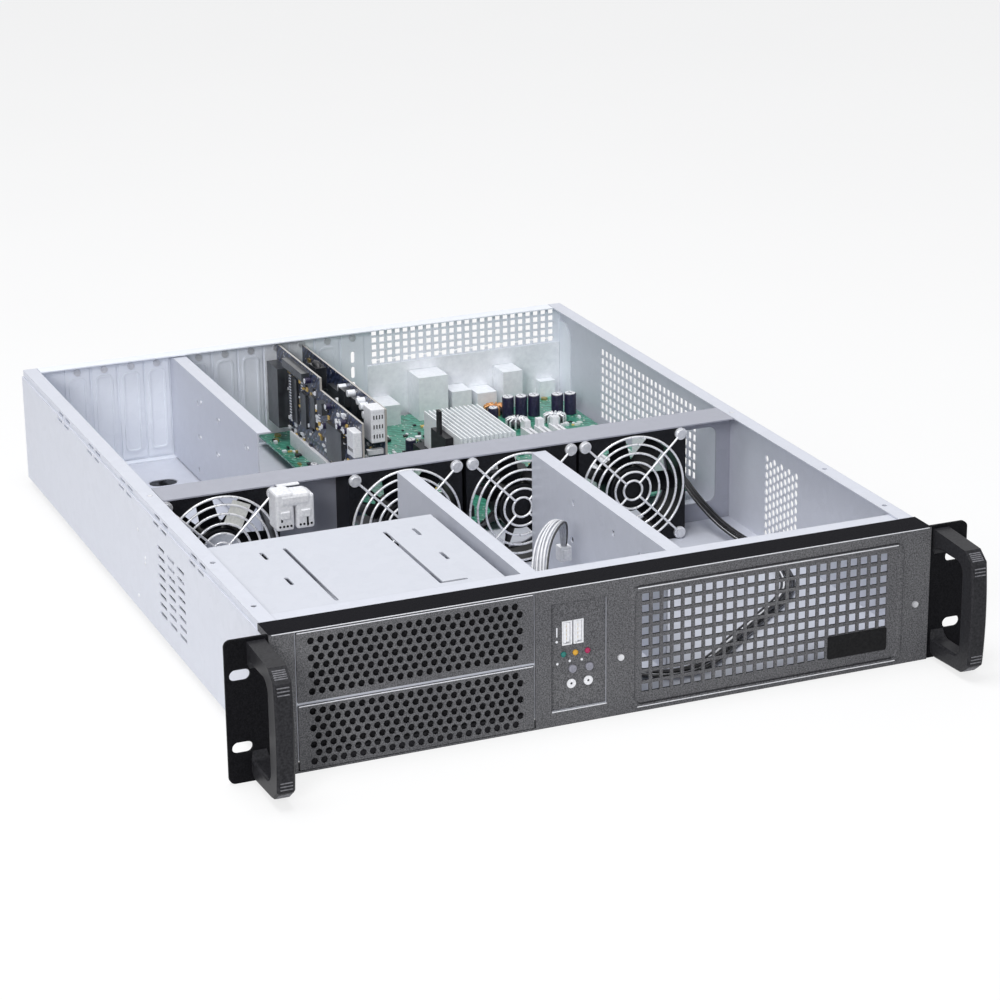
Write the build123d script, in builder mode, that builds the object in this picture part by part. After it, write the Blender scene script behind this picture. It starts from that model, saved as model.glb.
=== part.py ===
from build123d import *
import os
from math import cos, pi, radians, sin, tan

os.makedirs("parts", exist_ok=True)

# Rackmount server case, two units high, open on top, with its fans, board and cards in place.
# X runs to the right as seen from the front, Y runs to the rear and Z runs up.
# The origin is the centre of the plane where the rack ears meet the rack.

# Overall sizes
panel_height = 88.0
ear_span = 482.6
body_width = 430.0
body_length = 556.8
body_height = 82.0

# Sheets
sheet = 1.0
bezel_sheet = 1.2
ear_sheet = 2.0
lap = 0.3

# Levels and planes that everything else is set from
panel_top = panel_height / 2
panel_bottom = -panel_height / 2
half_width = body_width / 2
body_bottom = panel_top - body_height
floor_top = body_bottom + sheet
wall_inner = half_width - sheet
bezel_back = -ear_sheet
bezel_front = bezel_back - bezel_sheet
rear_inner = body_length - sheet

# Lid seat along the tray's walls
joggle_step = 1.2
joggle_drop = 4.8
joggle_level = panel_top - joggle_drop
seat_outer = half_width - joggle_step
seat_inner = seat_outer - sheet
side_flange_width = 10.0
side_flange_edge = seat_outer - side_flange_width
flange_under = panel_top - sheet

# Bezel
bezel_top_depth = 20.2
bezel_bottom_depth = 12.0
bay_left = -200.1
bay_right = -51.4
bay_gap = 1.0
bay_split = -1.6
mesh_hole = 4.4
mesh_pitch = 6.0
mesh_columns = 22
mesh_rows = 7
recess_left = -41.3
recess_right = -5.1
recess_bottom = -34.6
recess_top = 34.0
ring_left = 9.6
ring_right = 196.0
ring_bottom = -42.0
ring_top = 37.2
ring_radius = 6.0
ring_width = 3.6
ring_rise = 1.0
ring_slope = 35
grille_centre_x = 101.3
grille_hole = 5.0
grille_pitch_x = 7.05
grille_pitch_z = 7.25
grille_columns = 24
grille_rows = 9
label_width = 41.2
label_height = 14.8
label_x = 164.7
label_z = -24.8
label_thickness = 0.6
label_corner = 1.0

# Rack ears and handles
ear_inner = 212.0
ear_corner = 4.0
ear_flange_length = 30.0
slot_x = 232.55
slot_spacing_z = 44.45
slot_length = 12.5
slot_width = 7.0
handle_inner = 217.0
handle_width = 11.0
handle_height = 84.0
handle_reach = 46.0
handle_bow = 2.0
handle_grip = 11.5
handle_shoulder = 9.0
handle_slope = 2.0
handle_corner = 6.0
handle_edge = 1.2
finger_height = 61.0
finger_corner = 7.0
finger_gap = 0.2
handle_screw_z = 36.0
handle_screw_radius = 1.65
handle_screw_fit = 0.05
handle_screw_head = 2.4
handle_screw_length = 12.0

# Control panel
control_margin = 3.0
board_gap = 5.0
control_board_thickness = 1.6
boss_radius = 1.8
usb_width = 6.4
usb_height = 15.2
usb_wall = 0.8
usb_tongue = (1.7, 11.0)
usb_x = (-30.3, -22.9)
usb_z = 13.9
light_x = (-32.6, -24.9, -17.0)
light_z = 0.6
light_radius = 1.7
light_rise = 1.2
light_flat = 0.6
button_radius = 2.5
button_fit = 0.05
button_flange = 0.8
button_edge = 0.5
button_travel = 1.0
button_reach = 1.5
power_place = (-26.8, -9.4)
reset_place = (-15.9, -9.6)
collar_places = ((-27.6, -18.8), (-16.6, -18.6))
collar_radius = 2.9
collar_bore = 0.75
collar_height = 0.7
face_screw_places = ((3.6, -6.5), (205.0, -5.4))
face_screw_head_radius = 2.0
face_screw_tail = 2.0
screw_radius = 1.5
screw_head_radius = 2.6
screw_head_height = 1.3
screw_clearance = 0.2

# Front inner panel
inner_flange_depth = 30.0
inner_foot_depth = 12.0
inner_side_depth = 20.0
inner_bay_openings = ((1.5, 39.5), (-34.5, -4.5))
inner_bay_margin = 4.0

# Drive cage and partitions
cage_left = -203.5
cage_right = -55.5
cage_front = 12.3
cage_rear = 151.8
cage_foot = 8.0
partition_x = (-45.0, 51.0)
partition_front = 31.0
partition_rear = 236.0
partition_top = 42.0
partition_flange = 10.0

# Fans
fan_x = (-166.0, -38.0, 45.0, 127.0)
fan_size = 80.0
fan_depth = 25.0
fan_front = 240.3
fan_bore = 38.0
fan_hole_offset = 35.75
fan_hole_radius = 2.15
rotor_radius = 36.4
hub_radius = 16.0
blade_count = 7
shaft_radius = 1.5
shaft_fit = 0.05
motor_radius = 15.5
rotor_gap = 0.6
guard_wire = 1.6
guard_rings = (6.9, 13.2, 19.8, 26.4, 32.6, 38.0)
fan_screw_radius = 1.8
fan_z = floor_top + fan_size / 2
fan_back = fan_front + fan_depth
beam_front = 240.0

# Rear slots, after the usual board and slot spacing
slot_pitch = 20.32
left_slots = (-174.5, -154.2, -133.8, -114.0)
first_right_slot = -81.5
card_slots = (3, 4)
vented_slot = 6
cover_width = 18.4
cover_bottom = -34.0
cover_top = 42.0
window_width = 12.2
window_bottom = -27.0
window_top = 33.0
slot_screw_z = 37.5
port_left = 53.2
port_right = 212.0
port_bottom = -32.0
port_top = 12.45
divider_x = -103.0
divider_front = 351.0
divider_top = 42.0

# Motherboard
board_left = -38.0
board_right = 206.0
board_front = 306.0
board_rear = 550.0
board_thickness = 1.6
standoff_height = 7.4
standoff_radius = 3.0
board_under = floor_top + standoff_height
board_top = board_under + board_thickness
connector_front = 433.0
connector_length = 85.0
connector_width = 7.4
connector_height = 11.0
connector_groove = 1.9
card_thickness = 1.6
card_rear = 551.5
card_under = board_top + 13.0
sink_centre = (73.0, 401.0)
sink_length = 72.0
sink_width = 42.0
sink_base = 4.0
sink_top = 12.0
fin_count = 13
fin_thickness = 1.0
socket_size = 38.0
socket_height = 6.0


def upright(y):
    """Plane facing the front, whose sketch axes are X and Z."""
    return Plane.XZ.offset(-y)


def sideways(x):
    """Plane facing right, whose sketch axes are Y and Z."""
    return Plane.YZ.offset(x)


def block(x_span, y_span, z_span, mode=Mode.ADD):
    """Box between two limits along each axis."""
    spans = (x_span, y_span, z_span)
    middle = tuple((low + high) / 2 for low, high in spans)
    with Locations(middle):
        Box(*(high - low for low, high in spans), mode=mode)


def mirrored_span(side, near, far):
    """Limits along X on the given side of the middle plane."""
    return tuple(sorted((side * near, side * far)))


def rod(plane, x, y, radius, length, mode=Mode.ADD):
    """Round bar that starts on a plane at sketch place x, y and runs along the plane's normal."""
    with BuildSketch(plane) as section:
        with Locations((x, y)):
            Circle(radius)
    extrude(section.sketch, amount=length, mode=mode)


def finish(piece, name):
    """Names a finished piece and writes it."""
    piece.part.label = name
    export_step(piece.part, f"parts/{name}.step")


# Tray: floor, joggled side walls and top flanges, folded from one sheet
hook_first = 133.4
hook_pitch = 77.3
hook_count = 5
hook_length = 12.0
hook_height = 1.8
hook_gap = 5.0
hook_levels = (37.0, 41.4)
tray_front = 0.0
seat_front = bezel_front + bezel_top_depth + lap
perforation_size = 5.0
perforation_pitch = 7.1
rear_perforation = (399.3, 0.5, 23, 8)
front_perforation = (189.8, -4.5, 5, 10)
front_perforation_pitch = (10.4, 6.0)
vent_centre = (189.3, 0.5)
vent_pitch = (21.0, 6.4)
vent_count = (3, 8)
vent_slot = (15.0, 2.2)
tie_hole_x = seat_inner - 4.4
tie_hole_y = (43.0, 120.5)
beam_screw_y = (beam_front + fan_back) / 2
cable_hole = (-129.0, 499.8)
cable_hole_size = (21.0, 14.0)

with BuildPart() as chassis_tray:
    with BuildSketch(upright(body_length)) as tray_section:
        with Locations((0, body_bottom + sheet / 2)):
            Rectangle(body_width, sheet)
        for side in (-1, 1):
            with Locations((side * (wall_inner + sheet / 2), (body_bottom + joggle_level) / 2)):
                Rectangle(sheet, joggle_level - body_bottom)
    extrude(amount=body_length - tray_front)
    with BuildSketch(upright(body_length)) as seat_section:
        for side in (-1, 1):
            with Locations((side * (seat_inner + half_width) / 2, joggle_level - sheet / 2)):
                Rectangle(half_width - seat_inner, sheet)
            with Locations((side * (seat_inner + sheet / 2), (joggle_level + panel_top - sheet) / 2)):
                Rectangle(sheet, panel_top - joggle_level + sheet)
            with Locations((side * (seat_outer + side_flange_edge) / 2, panel_top - sheet / 2)):
                Rectangle(side_flange_width, sheet)
    extrude(amount=body_length - seat_front)
    with BuildSketch(Plane.XY.offset(body_bottom - sheet / 2)) as floor_holes:
        with Locations(cable_hole):
            SlotOverall(*cable_hole_size)
    extrude(amount=2 * sheet, mode=Mode.SUBTRACT)
    with BuildSketch(Plane.XY.offset(flange_under - sheet / 2)) as flange_holes:
        for side in (-1, 1):
            with Locations(*[(side * tie_hole_x, y) for y in (*tie_hole_y, beam_screw_y)]):
                Circle(screw_radius + screw_clearance)
    extrude(amount=2 * sheet, mode=Mode.SUBTRACT)
    hooks = [
        (hook_first + hook * hook_pitch + end * (hook_length + hook_gap) / 2, level)
        for hook in range(hook_count)
        for end in (-1, 1)
        for level in hook_levels
    ]
    for side in (-1, 1):
        with BuildSketch(sideways(side * (seat_inner + half_width) / 2 - 2 * sheet)) as hook_slots:
            with Locations(*hooks):
                Rectangle(hook_length, hook_height)
        extrude(amount=4 * sheet, mode=Mode.SUBTRACT)
    with BuildSketch(sideways(wall_inner - sheet / 2)) as right_perforation:
        with Locations(rear_perforation[:2]):
            with GridLocations(perforation_pitch, perforation_pitch, *rear_perforation[2:]):
                Rectangle(perforation_size, perforation_size)
        with Locations(front_perforation[:2]):
            with GridLocations(*front_perforation_pitch, *front_perforation[2:]):
                RegularPolygon(perforation_size / 2, 8)
            with GridLocations(*front_perforation_pitch, front_perforation[2] - 1, front_perforation[3] - 1):
                RegularPolygon(perforation_size / 2, 8)
    extrude(amount=2 * sheet, mode=Mode.SUBTRACT)
    with BuildSketch(sideways(-half_width - sheet / 2)) as left_vents:
        with Locations(vent_centre):
            with GridLocations(*vent_pitch, *vent_count):
                SlotOverall(*vent_slot)
    extrude(amount=2 * sheet, mode=Mode.SUBTRACT)
finish(chassis_tray, "chassis_tray")

# Rear panel with its slot windows, port opening and square-hole grille
rear_flange_depth = 11.0
rear_ledge_depth = 8.0
rear_side_depth = 20.0
rear_side_height = 68.0
rear_side_corner = 8.0
grille_rear = (132.0, 27.5, 24, 5)
grille_rear_pitch = (6.4, 5.6)
grille_rear_hole = 4.0
rail_slot = (9.0, 1.0)
rail_pitch = 13.0
rail_count = 12
rail_drop = 3.0
right_slots = [first_right_slot + slot_pitch * k for k in range(vented_slot + 1)]
all_slots = list(left_slots) + right_slots

with BuildPart() as rear_panel:
    with BuildSketch(upright(body_length)) as rear_face:
        with Locations((0, (floor_top + joggle_level - sheet) / 2)):
            Rectangle(2 * wall_inner, joggle_level - sheet - floor_top)
        with Locations((0, (floor_top + flange_under) / 2)):
            Rectangle(2 * (seat_inner - lap), flange_under - floor_top)
        with Locations((0, (floor_top + panel_top) / 2)):
            Rectangle(2 * (side_flange_edge - lap), panel_top - floor_top)
        with Locations(*[(x, (window_bottom + window_top) / 2) for x in all_slots]):
            Rectangle(window_width, window_top - window_bottom, mode=Mode.SUBTRACT)
        with Locations(*[(x, slot_screw_z) for x in all_slots]):
            Circle(screw_radius + screw_clearance, mode=Mode.SUBTRACT)
        with Locations(((port_left + port_right) / 2, (port_bottom + port_top) / 2)):
            Rectangle(port_right - port_left, port_top - port_bottom, mode=Mode.SUBTRACT)
    extrude(amount=sheet)
    block(
        (lap - side_flange_edge, side_flange_edge - lap),
        (body_length - rear_flange_depth, rear_inner),
        (flange_under, panel_top),
    )
    block(
        (-wall_inner, wall_inner),
        (body_length - rear_ledge_depth, rear_inner),
        (floor_top, floor_top + sheet),
    )
    for side in (-1, 1):
        with BuildSketch(sideways(side * (wall_inner - sheet / 2) - sheet / 2)) as side_return:
            with BuildLine():
                Polyline(
                    (rear_inner, floor_top),
                    (rear_inner - rear_side_depth, floor_top),
                    (rear_inner - rear_side_depth, floor_top + rear_side_height - rear_side_corner),
                    (rear_inner - rear_side_depth + rear_side_corner, floor_top + rear_side_height),
                    (rear_inner, floor_top + rear_side_height),
                    close=True,
                )
            make_face()
        extrude(amount=sheet)
    with BuildSketch(upright(body_length + sheet / 2)) as grille_holes:
        with Locations(grille_rear[:2]):
            with GridLocations(*grille_rear_pitch, *grille_rear[2:]):
                Rectangle(grille_rear_hole, grille_rear_hole)
        with Locations((grille_rear[0], (port_top + grille_rear[1]) / 2 - rail_drop)):
            with GridLocations(rail_pitch, 1, rail_count, 1):
                Rectangle(*rail_slot)
    extrude(amount=2 * sheet, mode=Mode.SUBTRACT)
finish(rear_panel, "rear_panel")

# Inner panel behind the bezel
with BuildPart() as front_subpanel:
    with BuildSketch(upright(bezel_back + sheet)) as inner_face:
        with Locations((0, (floor_top + panel_top - bezel_sheet) / 2)):
            Rectangle(2 * ear_inner, panel_top - bezel_sheet - floor_top)
        for low, high in inner_bay_openings:
            with Locations(((bay_left + bay_right) / 2, (low + high) / 2)):
                Rectangle(bay_right - bay_left - 2 * inner_bay_margin, high - low, mode=Mode.SUBTRACT)
        with Locations(((recess_left + recess_right) / 2, (recess_bottom + recess_top) / 2)):
            Rectangle(recess_right - recess_left, recess_top - recess_bottom, mode=Mode.SUBTRACT)
        with Locations((grille_centre_x, 0)):
            Rectangle(
                grille_columns * grille_pitch_x + 2 * sheet,
                grille_rows * grille_pitch_z + 2 * sheet,
                mode=Mode.SUBTRACT,
            )
        with Locations(*face_screw_places):
            Circle(screw_radius + screw_clearance, mode=Mode.SUBTRACT)
    extrude(amount=sheet)
    inner_start = bezel_back + sheet
    inner_top = panel_top - bezel_sheet
    block((-ear_inner, ear_inner), (inner_start, inner_flange_depth), (inner_top - sheet, inner_top))
    block((-ear_inner, ear_inner), (inner_start, inner_foot_depth), (floor_top, floor_top + sheet))
    for side in (-1, 1):
        block(
            mirrored_span(side, ear_inner - sheet, ear_inner),
            (inner_start, inner_side_depth),
            (floor_top, inner_top),
        )
finish(front_subpanel, "front_subpanel")

# Bezel: black face with its bay window, control window, grille and raised ring
with BuildPart() as front_bezel:
    with BuildSketch(upright(bezel_back)) as bezel_face:
        Rectangle(body_width, panel_height)
        with Locations(((bay_left + bay_right) / 2, 0)):
            Rectangle(bay_right - bay_left, panel_height - 2 * bezel_sheet, mode=Mode.SUBTRACT)
        with Locations(((recess_left + recess_right) / 2, (recess_bottom + recess_top) / 2)):
            Rectangle(recess_right - recess_left, recess_top - recess_bottom, mode=Mode.SUBTRACT)
        with Locations(*face_screw_places):
            Circle(screw_radius + screw_clearance, mode=Mode.SUBTRACT)
    extrude(amount=bezel_sheet)
    with BuildSketch(upright(bezel_front)) as ring_face:
        with Locations(((ring_left + ring_right) / 2, (ring_bottom + ring_top) / 2)):
            RectangleRounded(ring_right - ring_left, ring_top - ring_bottom, ring_radius)
            RectangleRounded(
                ring_right - ring_left - 2 * ring_width,
                ring_top - ring_bottom - 2 * ring_width,
                ring_radius - ring_width / 2,
                mode=Mode.SUBTRACT,
            )
    extrude(amount=ring_rise, taper=ring_slope)
    bezel_top_rear = bezel_front + bezel_top_depth
    block((-half_width, half_width), (bezel_back, bezel_top_rear), (panel_top - bezel_sheet, panel_top))
    block(
        (lap - ear_inner, ear_inner - lap),
        (bezel_back, bezel_front + bezel_bottom_depth),
        (panel_bottom, panel_bottom + bezel_sheet),
    )
    for side in (-1, 1):
        block(
            mirrored_span(side, seat_outer, half_width),
            (bezel_back, bezel_top_rear),
            (joggle_level + lap, panel_top),
        )
    with BuildSketch(upright(bezel_back + sheet)) as grille_face:
        with Locations((grille_centre_x, 0)):
            with GridLocations(grille_pitch_x, grille_pitch_z, grille_columns, grille_rows):
                Rectangle(grille_hole, grille_hole)
    extrude(amount=bezel_sheet + 2 * sheet, mode=Mode.SUBTRACT)
finish(front_bezel, "front_bezel")

# Perforated bay covers, let into the bezel's bay window
cover_levels = {
    "bay_cover_upper": (bay_split + bay_gap, panel_top - bezel_sheet - lap),
    "bay_cover_lower": (panel_bottom + bezel_sheet + lap, bay_split - bay_gap),
}
mesh_row_pitch = mesh_pitch * cos(radians(30))
bay_middle = (bay_left + bay_right) / 2
for name, (low, high) in cover_levels.items():
    mesh_places = [
        (
            bay_middle + (column - (mesh_columns - 1) / 2 + (row % 2 - 0.5) / 2) * mesh_pitch,
            (low + high) / 2 + (row - (mesh_rows - 1) / 2) * mesh_row_pitch,
        )
        for row in range(mesh_rows)
        for column in range(mesh_columns)
    ]
    with BuildPart() as bay_cover:
        with BuildSketch(upright(bezel_back)) as cover_face:
            with Locations((bay_middle, (low + high) / 2)):
                Rectangle(bay_right - bay_left - 2 * bay_gap, high - low)
            with Locations(*mesh_places):
                RegularPolygon(mesh_hole / 2, 8, mode=Mode.SUBTRACT)
        extrude(amount=bezel_sheet)
    finish(bay_cover, name)

# Rack ears: angle brackets that carry the slots and the handles
handle_x = handle_inner + handle_width / 2
handle_screw_levels = (-handle_screw_z, handle_screw_z)
for side, name in ((-1, "left"), (1, "right")):
    ear_outer = ear_span / 2
    with BuildPart() as rack_ear:
        with BuildSketch(upright(0)) as ear_face:
            with BuildLine():
                Polyline(
                    (side * ear_inner, panel_bottom),
                    (side * ear_outer, panel_bottom),
                    (side * ear_outer, panel_top),
                    (side * (half_width + lap), panel_top),
                    (side * (half_width + lap), joggle_level),
                    (side * ear_inner, joggle_level),
                    close=True,
                )
            make_face()
            fillet(ear_face.vertices().group_by(Axis.X)[-1 if side > 0 else 0], ear_corner)
            with Locations((side * slot_x, slot_spacing_z / 2), (side * slot_x, -slot_spacing_z / 2)):
                SlotOverall(slot_length, slot_width, mode=Mode.SUBTRACT)
            with Locations(*[(side * handle_x, level) for level in handle_screw_levels]):
                Circle(handle_screw_radius + screw_clearance, mode=Mode.SUBTRACT)
        extrude(amount=ear_sheet)
        block(
            mirrored_span(side, ear_inner, wall_inner),
            (0, ear_flange_length),
            (floor_top + sheet, joggle_level - sheet),
        )
    finish(rack_ear, f"rack_ear_{name}")

# Handles: moulded loops on the ears
handle_front = bezel_back - handle_reach
for side, name in ((-1, "left"), (1, "right")):
    handle_start = side * handle_x - handle_width / 2
    half_handle = handle_height / 2
    with BuildPart() as handle:
        with BuildSketch(sideways(handle_start)) as handle_side:
            with BuildLine():
                Polyline(
                    (handle_front, half_handle - handle_shoulder),
                    (handle_front + handle_shoulder, half_handle - handle_slope),
                    (bezel_back, half_handle),
                    (bezel_back, -half_handle),
                    (handle_front + handle_shoulder, -half_handle + handle_slope),
                    (handle_front, -half_handle + handle_shoulder),
                )
                ThreePointArc(
                    (handle_front, -half_handle + handle_shoulder),
                    (handle_front - handle_bow, 0),
                    (handle_front, half_handle - handle_shoulder),
                )
            make_face()
            outer_corners = [v for v in handle_side.vertices() if v.Y < handle_front + handle_shoulder + 1]
            fillet(outer_corners, handle_corner)
            finger_near = bezel_back + finger_gap
            finger_far = handle_front + handle_grip
            with Locations(((finger_near + finger_far) / 2, 0)):
                RectangleRounded(finger_near - finger_far, finger_height, finger_corner, mode=Mode.SUBTRACT)
        extrude(amount=handle_width)
        bent_edges = handle.faces().filter_by(Axis.X).edges().filter_by(GeomType.LINE, reverse=True)
        chamfer(bent_edges, handle_edge)
        for level in handle_screw_levels:
            rod(
                upright(bezel_back),
                side * handle_x,
                level,
                handle_screw_radius,
                handle_screw_length,
                mode=Mode.SUBTRACT,
            )
    finish(handle, f"handle_{name}")

# Screws that hold the handles from behind the ears
shank_radius = handle_screw_radius - handle_screw_fit
with BuildPart() as ear_screws:
    for side in (-1, 1):
        for level in handle_screw_levels:
            rod(upright(0), side * handle_x, level, shank_radius, handle_screw_length)
            rod(upright(screw_head_height), side * handle_x, level, handle_screw_head, screw_head_height)
finish(ear_screws, "ear_screws")

# Control panel: plate at the bottom of the bezel's recess, with bosses for its board
usb_fit = 0.1
boss_inset = 4.0
boss_edge = (3.0, 1.9)
panel_lap = 1.0
panel_left = recess_left - 2 * control_margin
panel_right = recess_right + control_margin
panel_back = bezel_back + 2 * sheet
with BuildPart() as control_panel:
    with BuildSketch(upright(panel_back)) as control_face:
        with Locations(((panel_left + panel_right) / 2, (recess_bottom + recess_top) / 2)):
            Rectangle(panel_right - panel_left, recess_top - recess_bottom + 2 * panel_lap)
        with Locations((sum(usb_x) / 2, usb_z)):
            Rectangle(
                usb_x[1] - usb_x[0] + usb_width + 2 * usb_fit,
                usb_height + 2 * usb_fit,
                mode=Mode.SUBTRACT,
            )
        with Locations(*[(x, light_z) for x in light_x]):
            Circle(light_radius + button_fit, mode=Mode.SUBTRACT)
        with Locations(power_place, reset_place):
            Circle(button_radius + button_fit, mode=Mode.SUBTRACT)
        with Locations(*collar_places):
            Circle(collar_bore, mode=Mode.SUBTRACT)
    extrude(amount=sheet)
    for x in (panel_left + boss_edge[0], panel_right - boss_edge[1]):
        for level in (recess_bottom + boss_inset, recess_top - boss_inset):
            rod(upright(panel_back + board_gap), x, level, boss_radius, board_gap)
finish(control_panel, "control_panel")

# Control board with the two push switches behind the buttons
board_y = panel_back + board_gap
flange_front = panel_back + 0.15
switch_clearance = 0.1
switch_front = flange_front + sheet + button_travel + switch_clearance
switch_half = 3.0
board_inset = 1.0
lead_socket_x = (-25.0, -10.0)
lead_socket_half_width = 5.0
lead_socket_half_height = 3.5
lead_socket_depth = 9.0
lead_socket_y = board_y + lead_socket_depth
lead_z = -23.5
with BuildPart() as control_board:
    block(
        (panel_left, panel_right),
        (board_y, board_y + control_board_thickness),
        (recess_bottom + board_inset, recess_top - board_inset),
    )
    for x, level in (power_place, reset_place):
        block(
            (x - switch_half, x + switch_half),
            (switch_front, board_y),
            (level - switch_half, level + switch_half),
        )
    for x in lead_socket_x:
        block(
            (x - lead_socket_half_width, x + lead_socket_half_width),
            (board_y + control_board_thickness, lead_socket_y),
            (lead_z - lead_socket_half_height, lead_z + lead_socket_half_height),
        )
finish(control_board, "control_board")

usb_set_back = 0.4
usb_depth = 1.0

with BuildPart() as usb_ports:
    for x in usb_x:
        block(
            (x - usb_width / 2, x + usb_width / 2),
            (bezel_back + usb_set_back, board_y),
            (usb_z - usb_height / 2, usb_z + usb_height / 2),
        )
        block(
            (x - usb_width / 2 + usb_wall, x + usb_width / 2 - usb_wall),
            (bezel_back, board_y - usb_depth),
            (usb_z - usb_height / 2 + usb_wall, usb_z + usb_height / 2 - usb_wall),
            mode=Mode.SUBTRACT,
        )
        tongue_left = x - usb_width / 2 + usb_wall
        tongue_width, tongue_height = usb_tongue
        block(
            (tongue_left, tongue_left + tongue_width),
            (bezel_back + 2 * usb_set_back, board_y - usb_depth / 2),
            (usb_z - tongue_height / 2, usb_z + tongue_height / 2),
        )
finish(usb_ports, "usb_ports")

light_shoulder = bezel_back + 0.2
light_front = light_shoulder - light_rise
with BuildPart() as status_leds:
    for x in light_x:
        rod(upright(board_y), x, light_z, light_radius, board_y - light_shoulder)
        with BuildSketch(upright(light_shoulder)) as dome_foot:
            with Locations((x, light_z)):
                Circle(light_radius)
        with BuildSketch(upright(light_front)) as dome_top:
            with Locations((x, light_z)):
                Circle(light_flat)
        loft([dome_foot.sketch, dome_top.sketch])
finish(status_leds, "status_leds")

for name, (x, level) in {"power_button": power_place, "reset_button": reset_place}.items():
    with BuildPart() as push_button:
        rod(upright(flange_front), x, level, button_radius, button_reach + flange_front - panel_back + sheet)
        fillet(push_button.faces().sort_by(Axis.Y)[0].edges(), button_edge)
        rod(upright(flange_front + sheet), x, level, button_radius + button_flange, sheet)
    finish(push_button, name)

with BuildPart() as pin_collars:
    with BuildSketch(upright(panel_back - sheet)) as collar_face:
        with Locations(*collar_places):
            Circle(collar_radius)
            Circle(collar_bore, mode=Mode.SUBTRACT)
    extrude(amount=collar_height)
finish(pin_collars, "pin_collars")

# Small screws: two in the bezel's face and one in each end of the fan wall's beam
beam_screw_tail = 3.0
with BuildPart() as panel_screws:
    face_screw_end = bezel_back + sheet + face_screw_tail
    for x, level in face_screw_places:
        rod(upright(face_screw_end), x, level, screw_radius, face_screw_end - bezel_front)
        rod(upright(bezel_front), x, level, face_screw_head_radius, screw_head_height)
    for side in (-1, 1):
        rod(
            Plane.XY.offset(flange_under - beam_screw_tail),
            side * tie_hole_x,
            beam_screw_y,
            screw_radius,
            beam_screw_tail + sheet,
        )
finish(panel_screws, "panel_screws")

with BuildPart() as label_plate:
    with BuildSketch(upright(bezel_front)) as label_face:
        with Locations((label_x, label_z)):
            RectangleRounded(label_width, label_height, label_corner)
    extrude(amount=label_thickness)
finish(label_plate, "label_plate")

# Drive cage: folded top and sides on two feet
cage_top = panel_top - bezel_sheet - sheet
cage_slits = ((-159.5, 84.3, 95.0, 2.4), (-93.5, 85.8, 96.0, 2.4))
cage_short_slits = ((-175.0, 123.8), (-175.0, 77.8), (-75.0, 125.8), (-75.0, 79.8))
cage_short_slit = (13.0, 2.4)
cage_cross_slit = (-85.0, 38.8)
cage_cross_size = (17.0, 2.2)
drive_slot_centre = (80.0, 0.0)
drive_slot_grid = (52.0, 21.0, 3, 3)
drive_slot = (14.0, 3.4)
with BuildPart() as drive_cage:
    with BuildSketch(upright(cage_rear)) as cage_section:
        with Locations(((cage_left + cage_right) / 2, cage_top - sheet / 2)):
            Rectangle(cage_right - cage_left, sheet)
        for side, edge in ((1, cage_left), (-1, cage_right)):
            with Locations((edge + side * sheet / 2, (floor_top + cage_top) / 2)):
                Rectangle(sheet, cage_top - floor_top)
            with Locations((edge + side * cage_foot / 2, floor_top + sheet / 2)):
                Rectangle(cage_foot, sheet)
    extrude(amount=cage_rear - cage_front)
    with BuildSketch(Plane.XY.offset(cage_top + sheet)) as cage_slots:
        for x, y, length, width in cage_slits:
            with Locations((x, y)):
                SlotOverall(length, width, rotation=90)
        with Locations(*cage_short_slits):
            SlotOverall(*cage_short_slit, rotation=90)
        with Locations(cage_cross_slit):
            SlotOverall(*cage_cross_size)
    extrude(amount=-3 * sheet, mode=Mode.SUBTRACT)
    with BuildSketch(sideways(cage_left - sheet)) as drive_slots:
        with Locations(drive_slot_centre):
            with GridLocations(*drive_slot_grid):
                SlotOverall(*drive_slot)
    extrude(amount=cage_right - cage_left + 2 * sheet, mode=Mode.SUBTRACT)
finish(drive_cage, "drive_cage")

# Partitions between the front bays
partition_holes = ((168.8, 28.0), (107.8, 27.6), (170.8, 2.0), (68.8, 26.0))
partition_hole_radius = 2.0
for x, name in zip(partition_x, ("partition_left", "partition_right")):
    with BuildPart() as partition:
        with BuildSketch(upright(partition_rear)) as partition_section:
            with Locations((x, (floor_top + partition_top) / 2)):
                Rectangle(sheet, partition_top - floor_top)
            for level in (floor_top + sheet / 2, partition_top - sheet / 2):
                with Locations((x - sheet / 2 + partition_flange / 2, level)):
                    Rectangle(partition_flange, sheet)
        extrude(amount=partition_rear - partition_front)
        with BuildSketch(sideways(x - sheet)) as partition_face:
            with Locations(*partition_holes):
                Circle(partition_hole_radius)
        extrude(amount=2 * sheet, mode=Mode.SUBTRACT)
    finish(partition, name)

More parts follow.
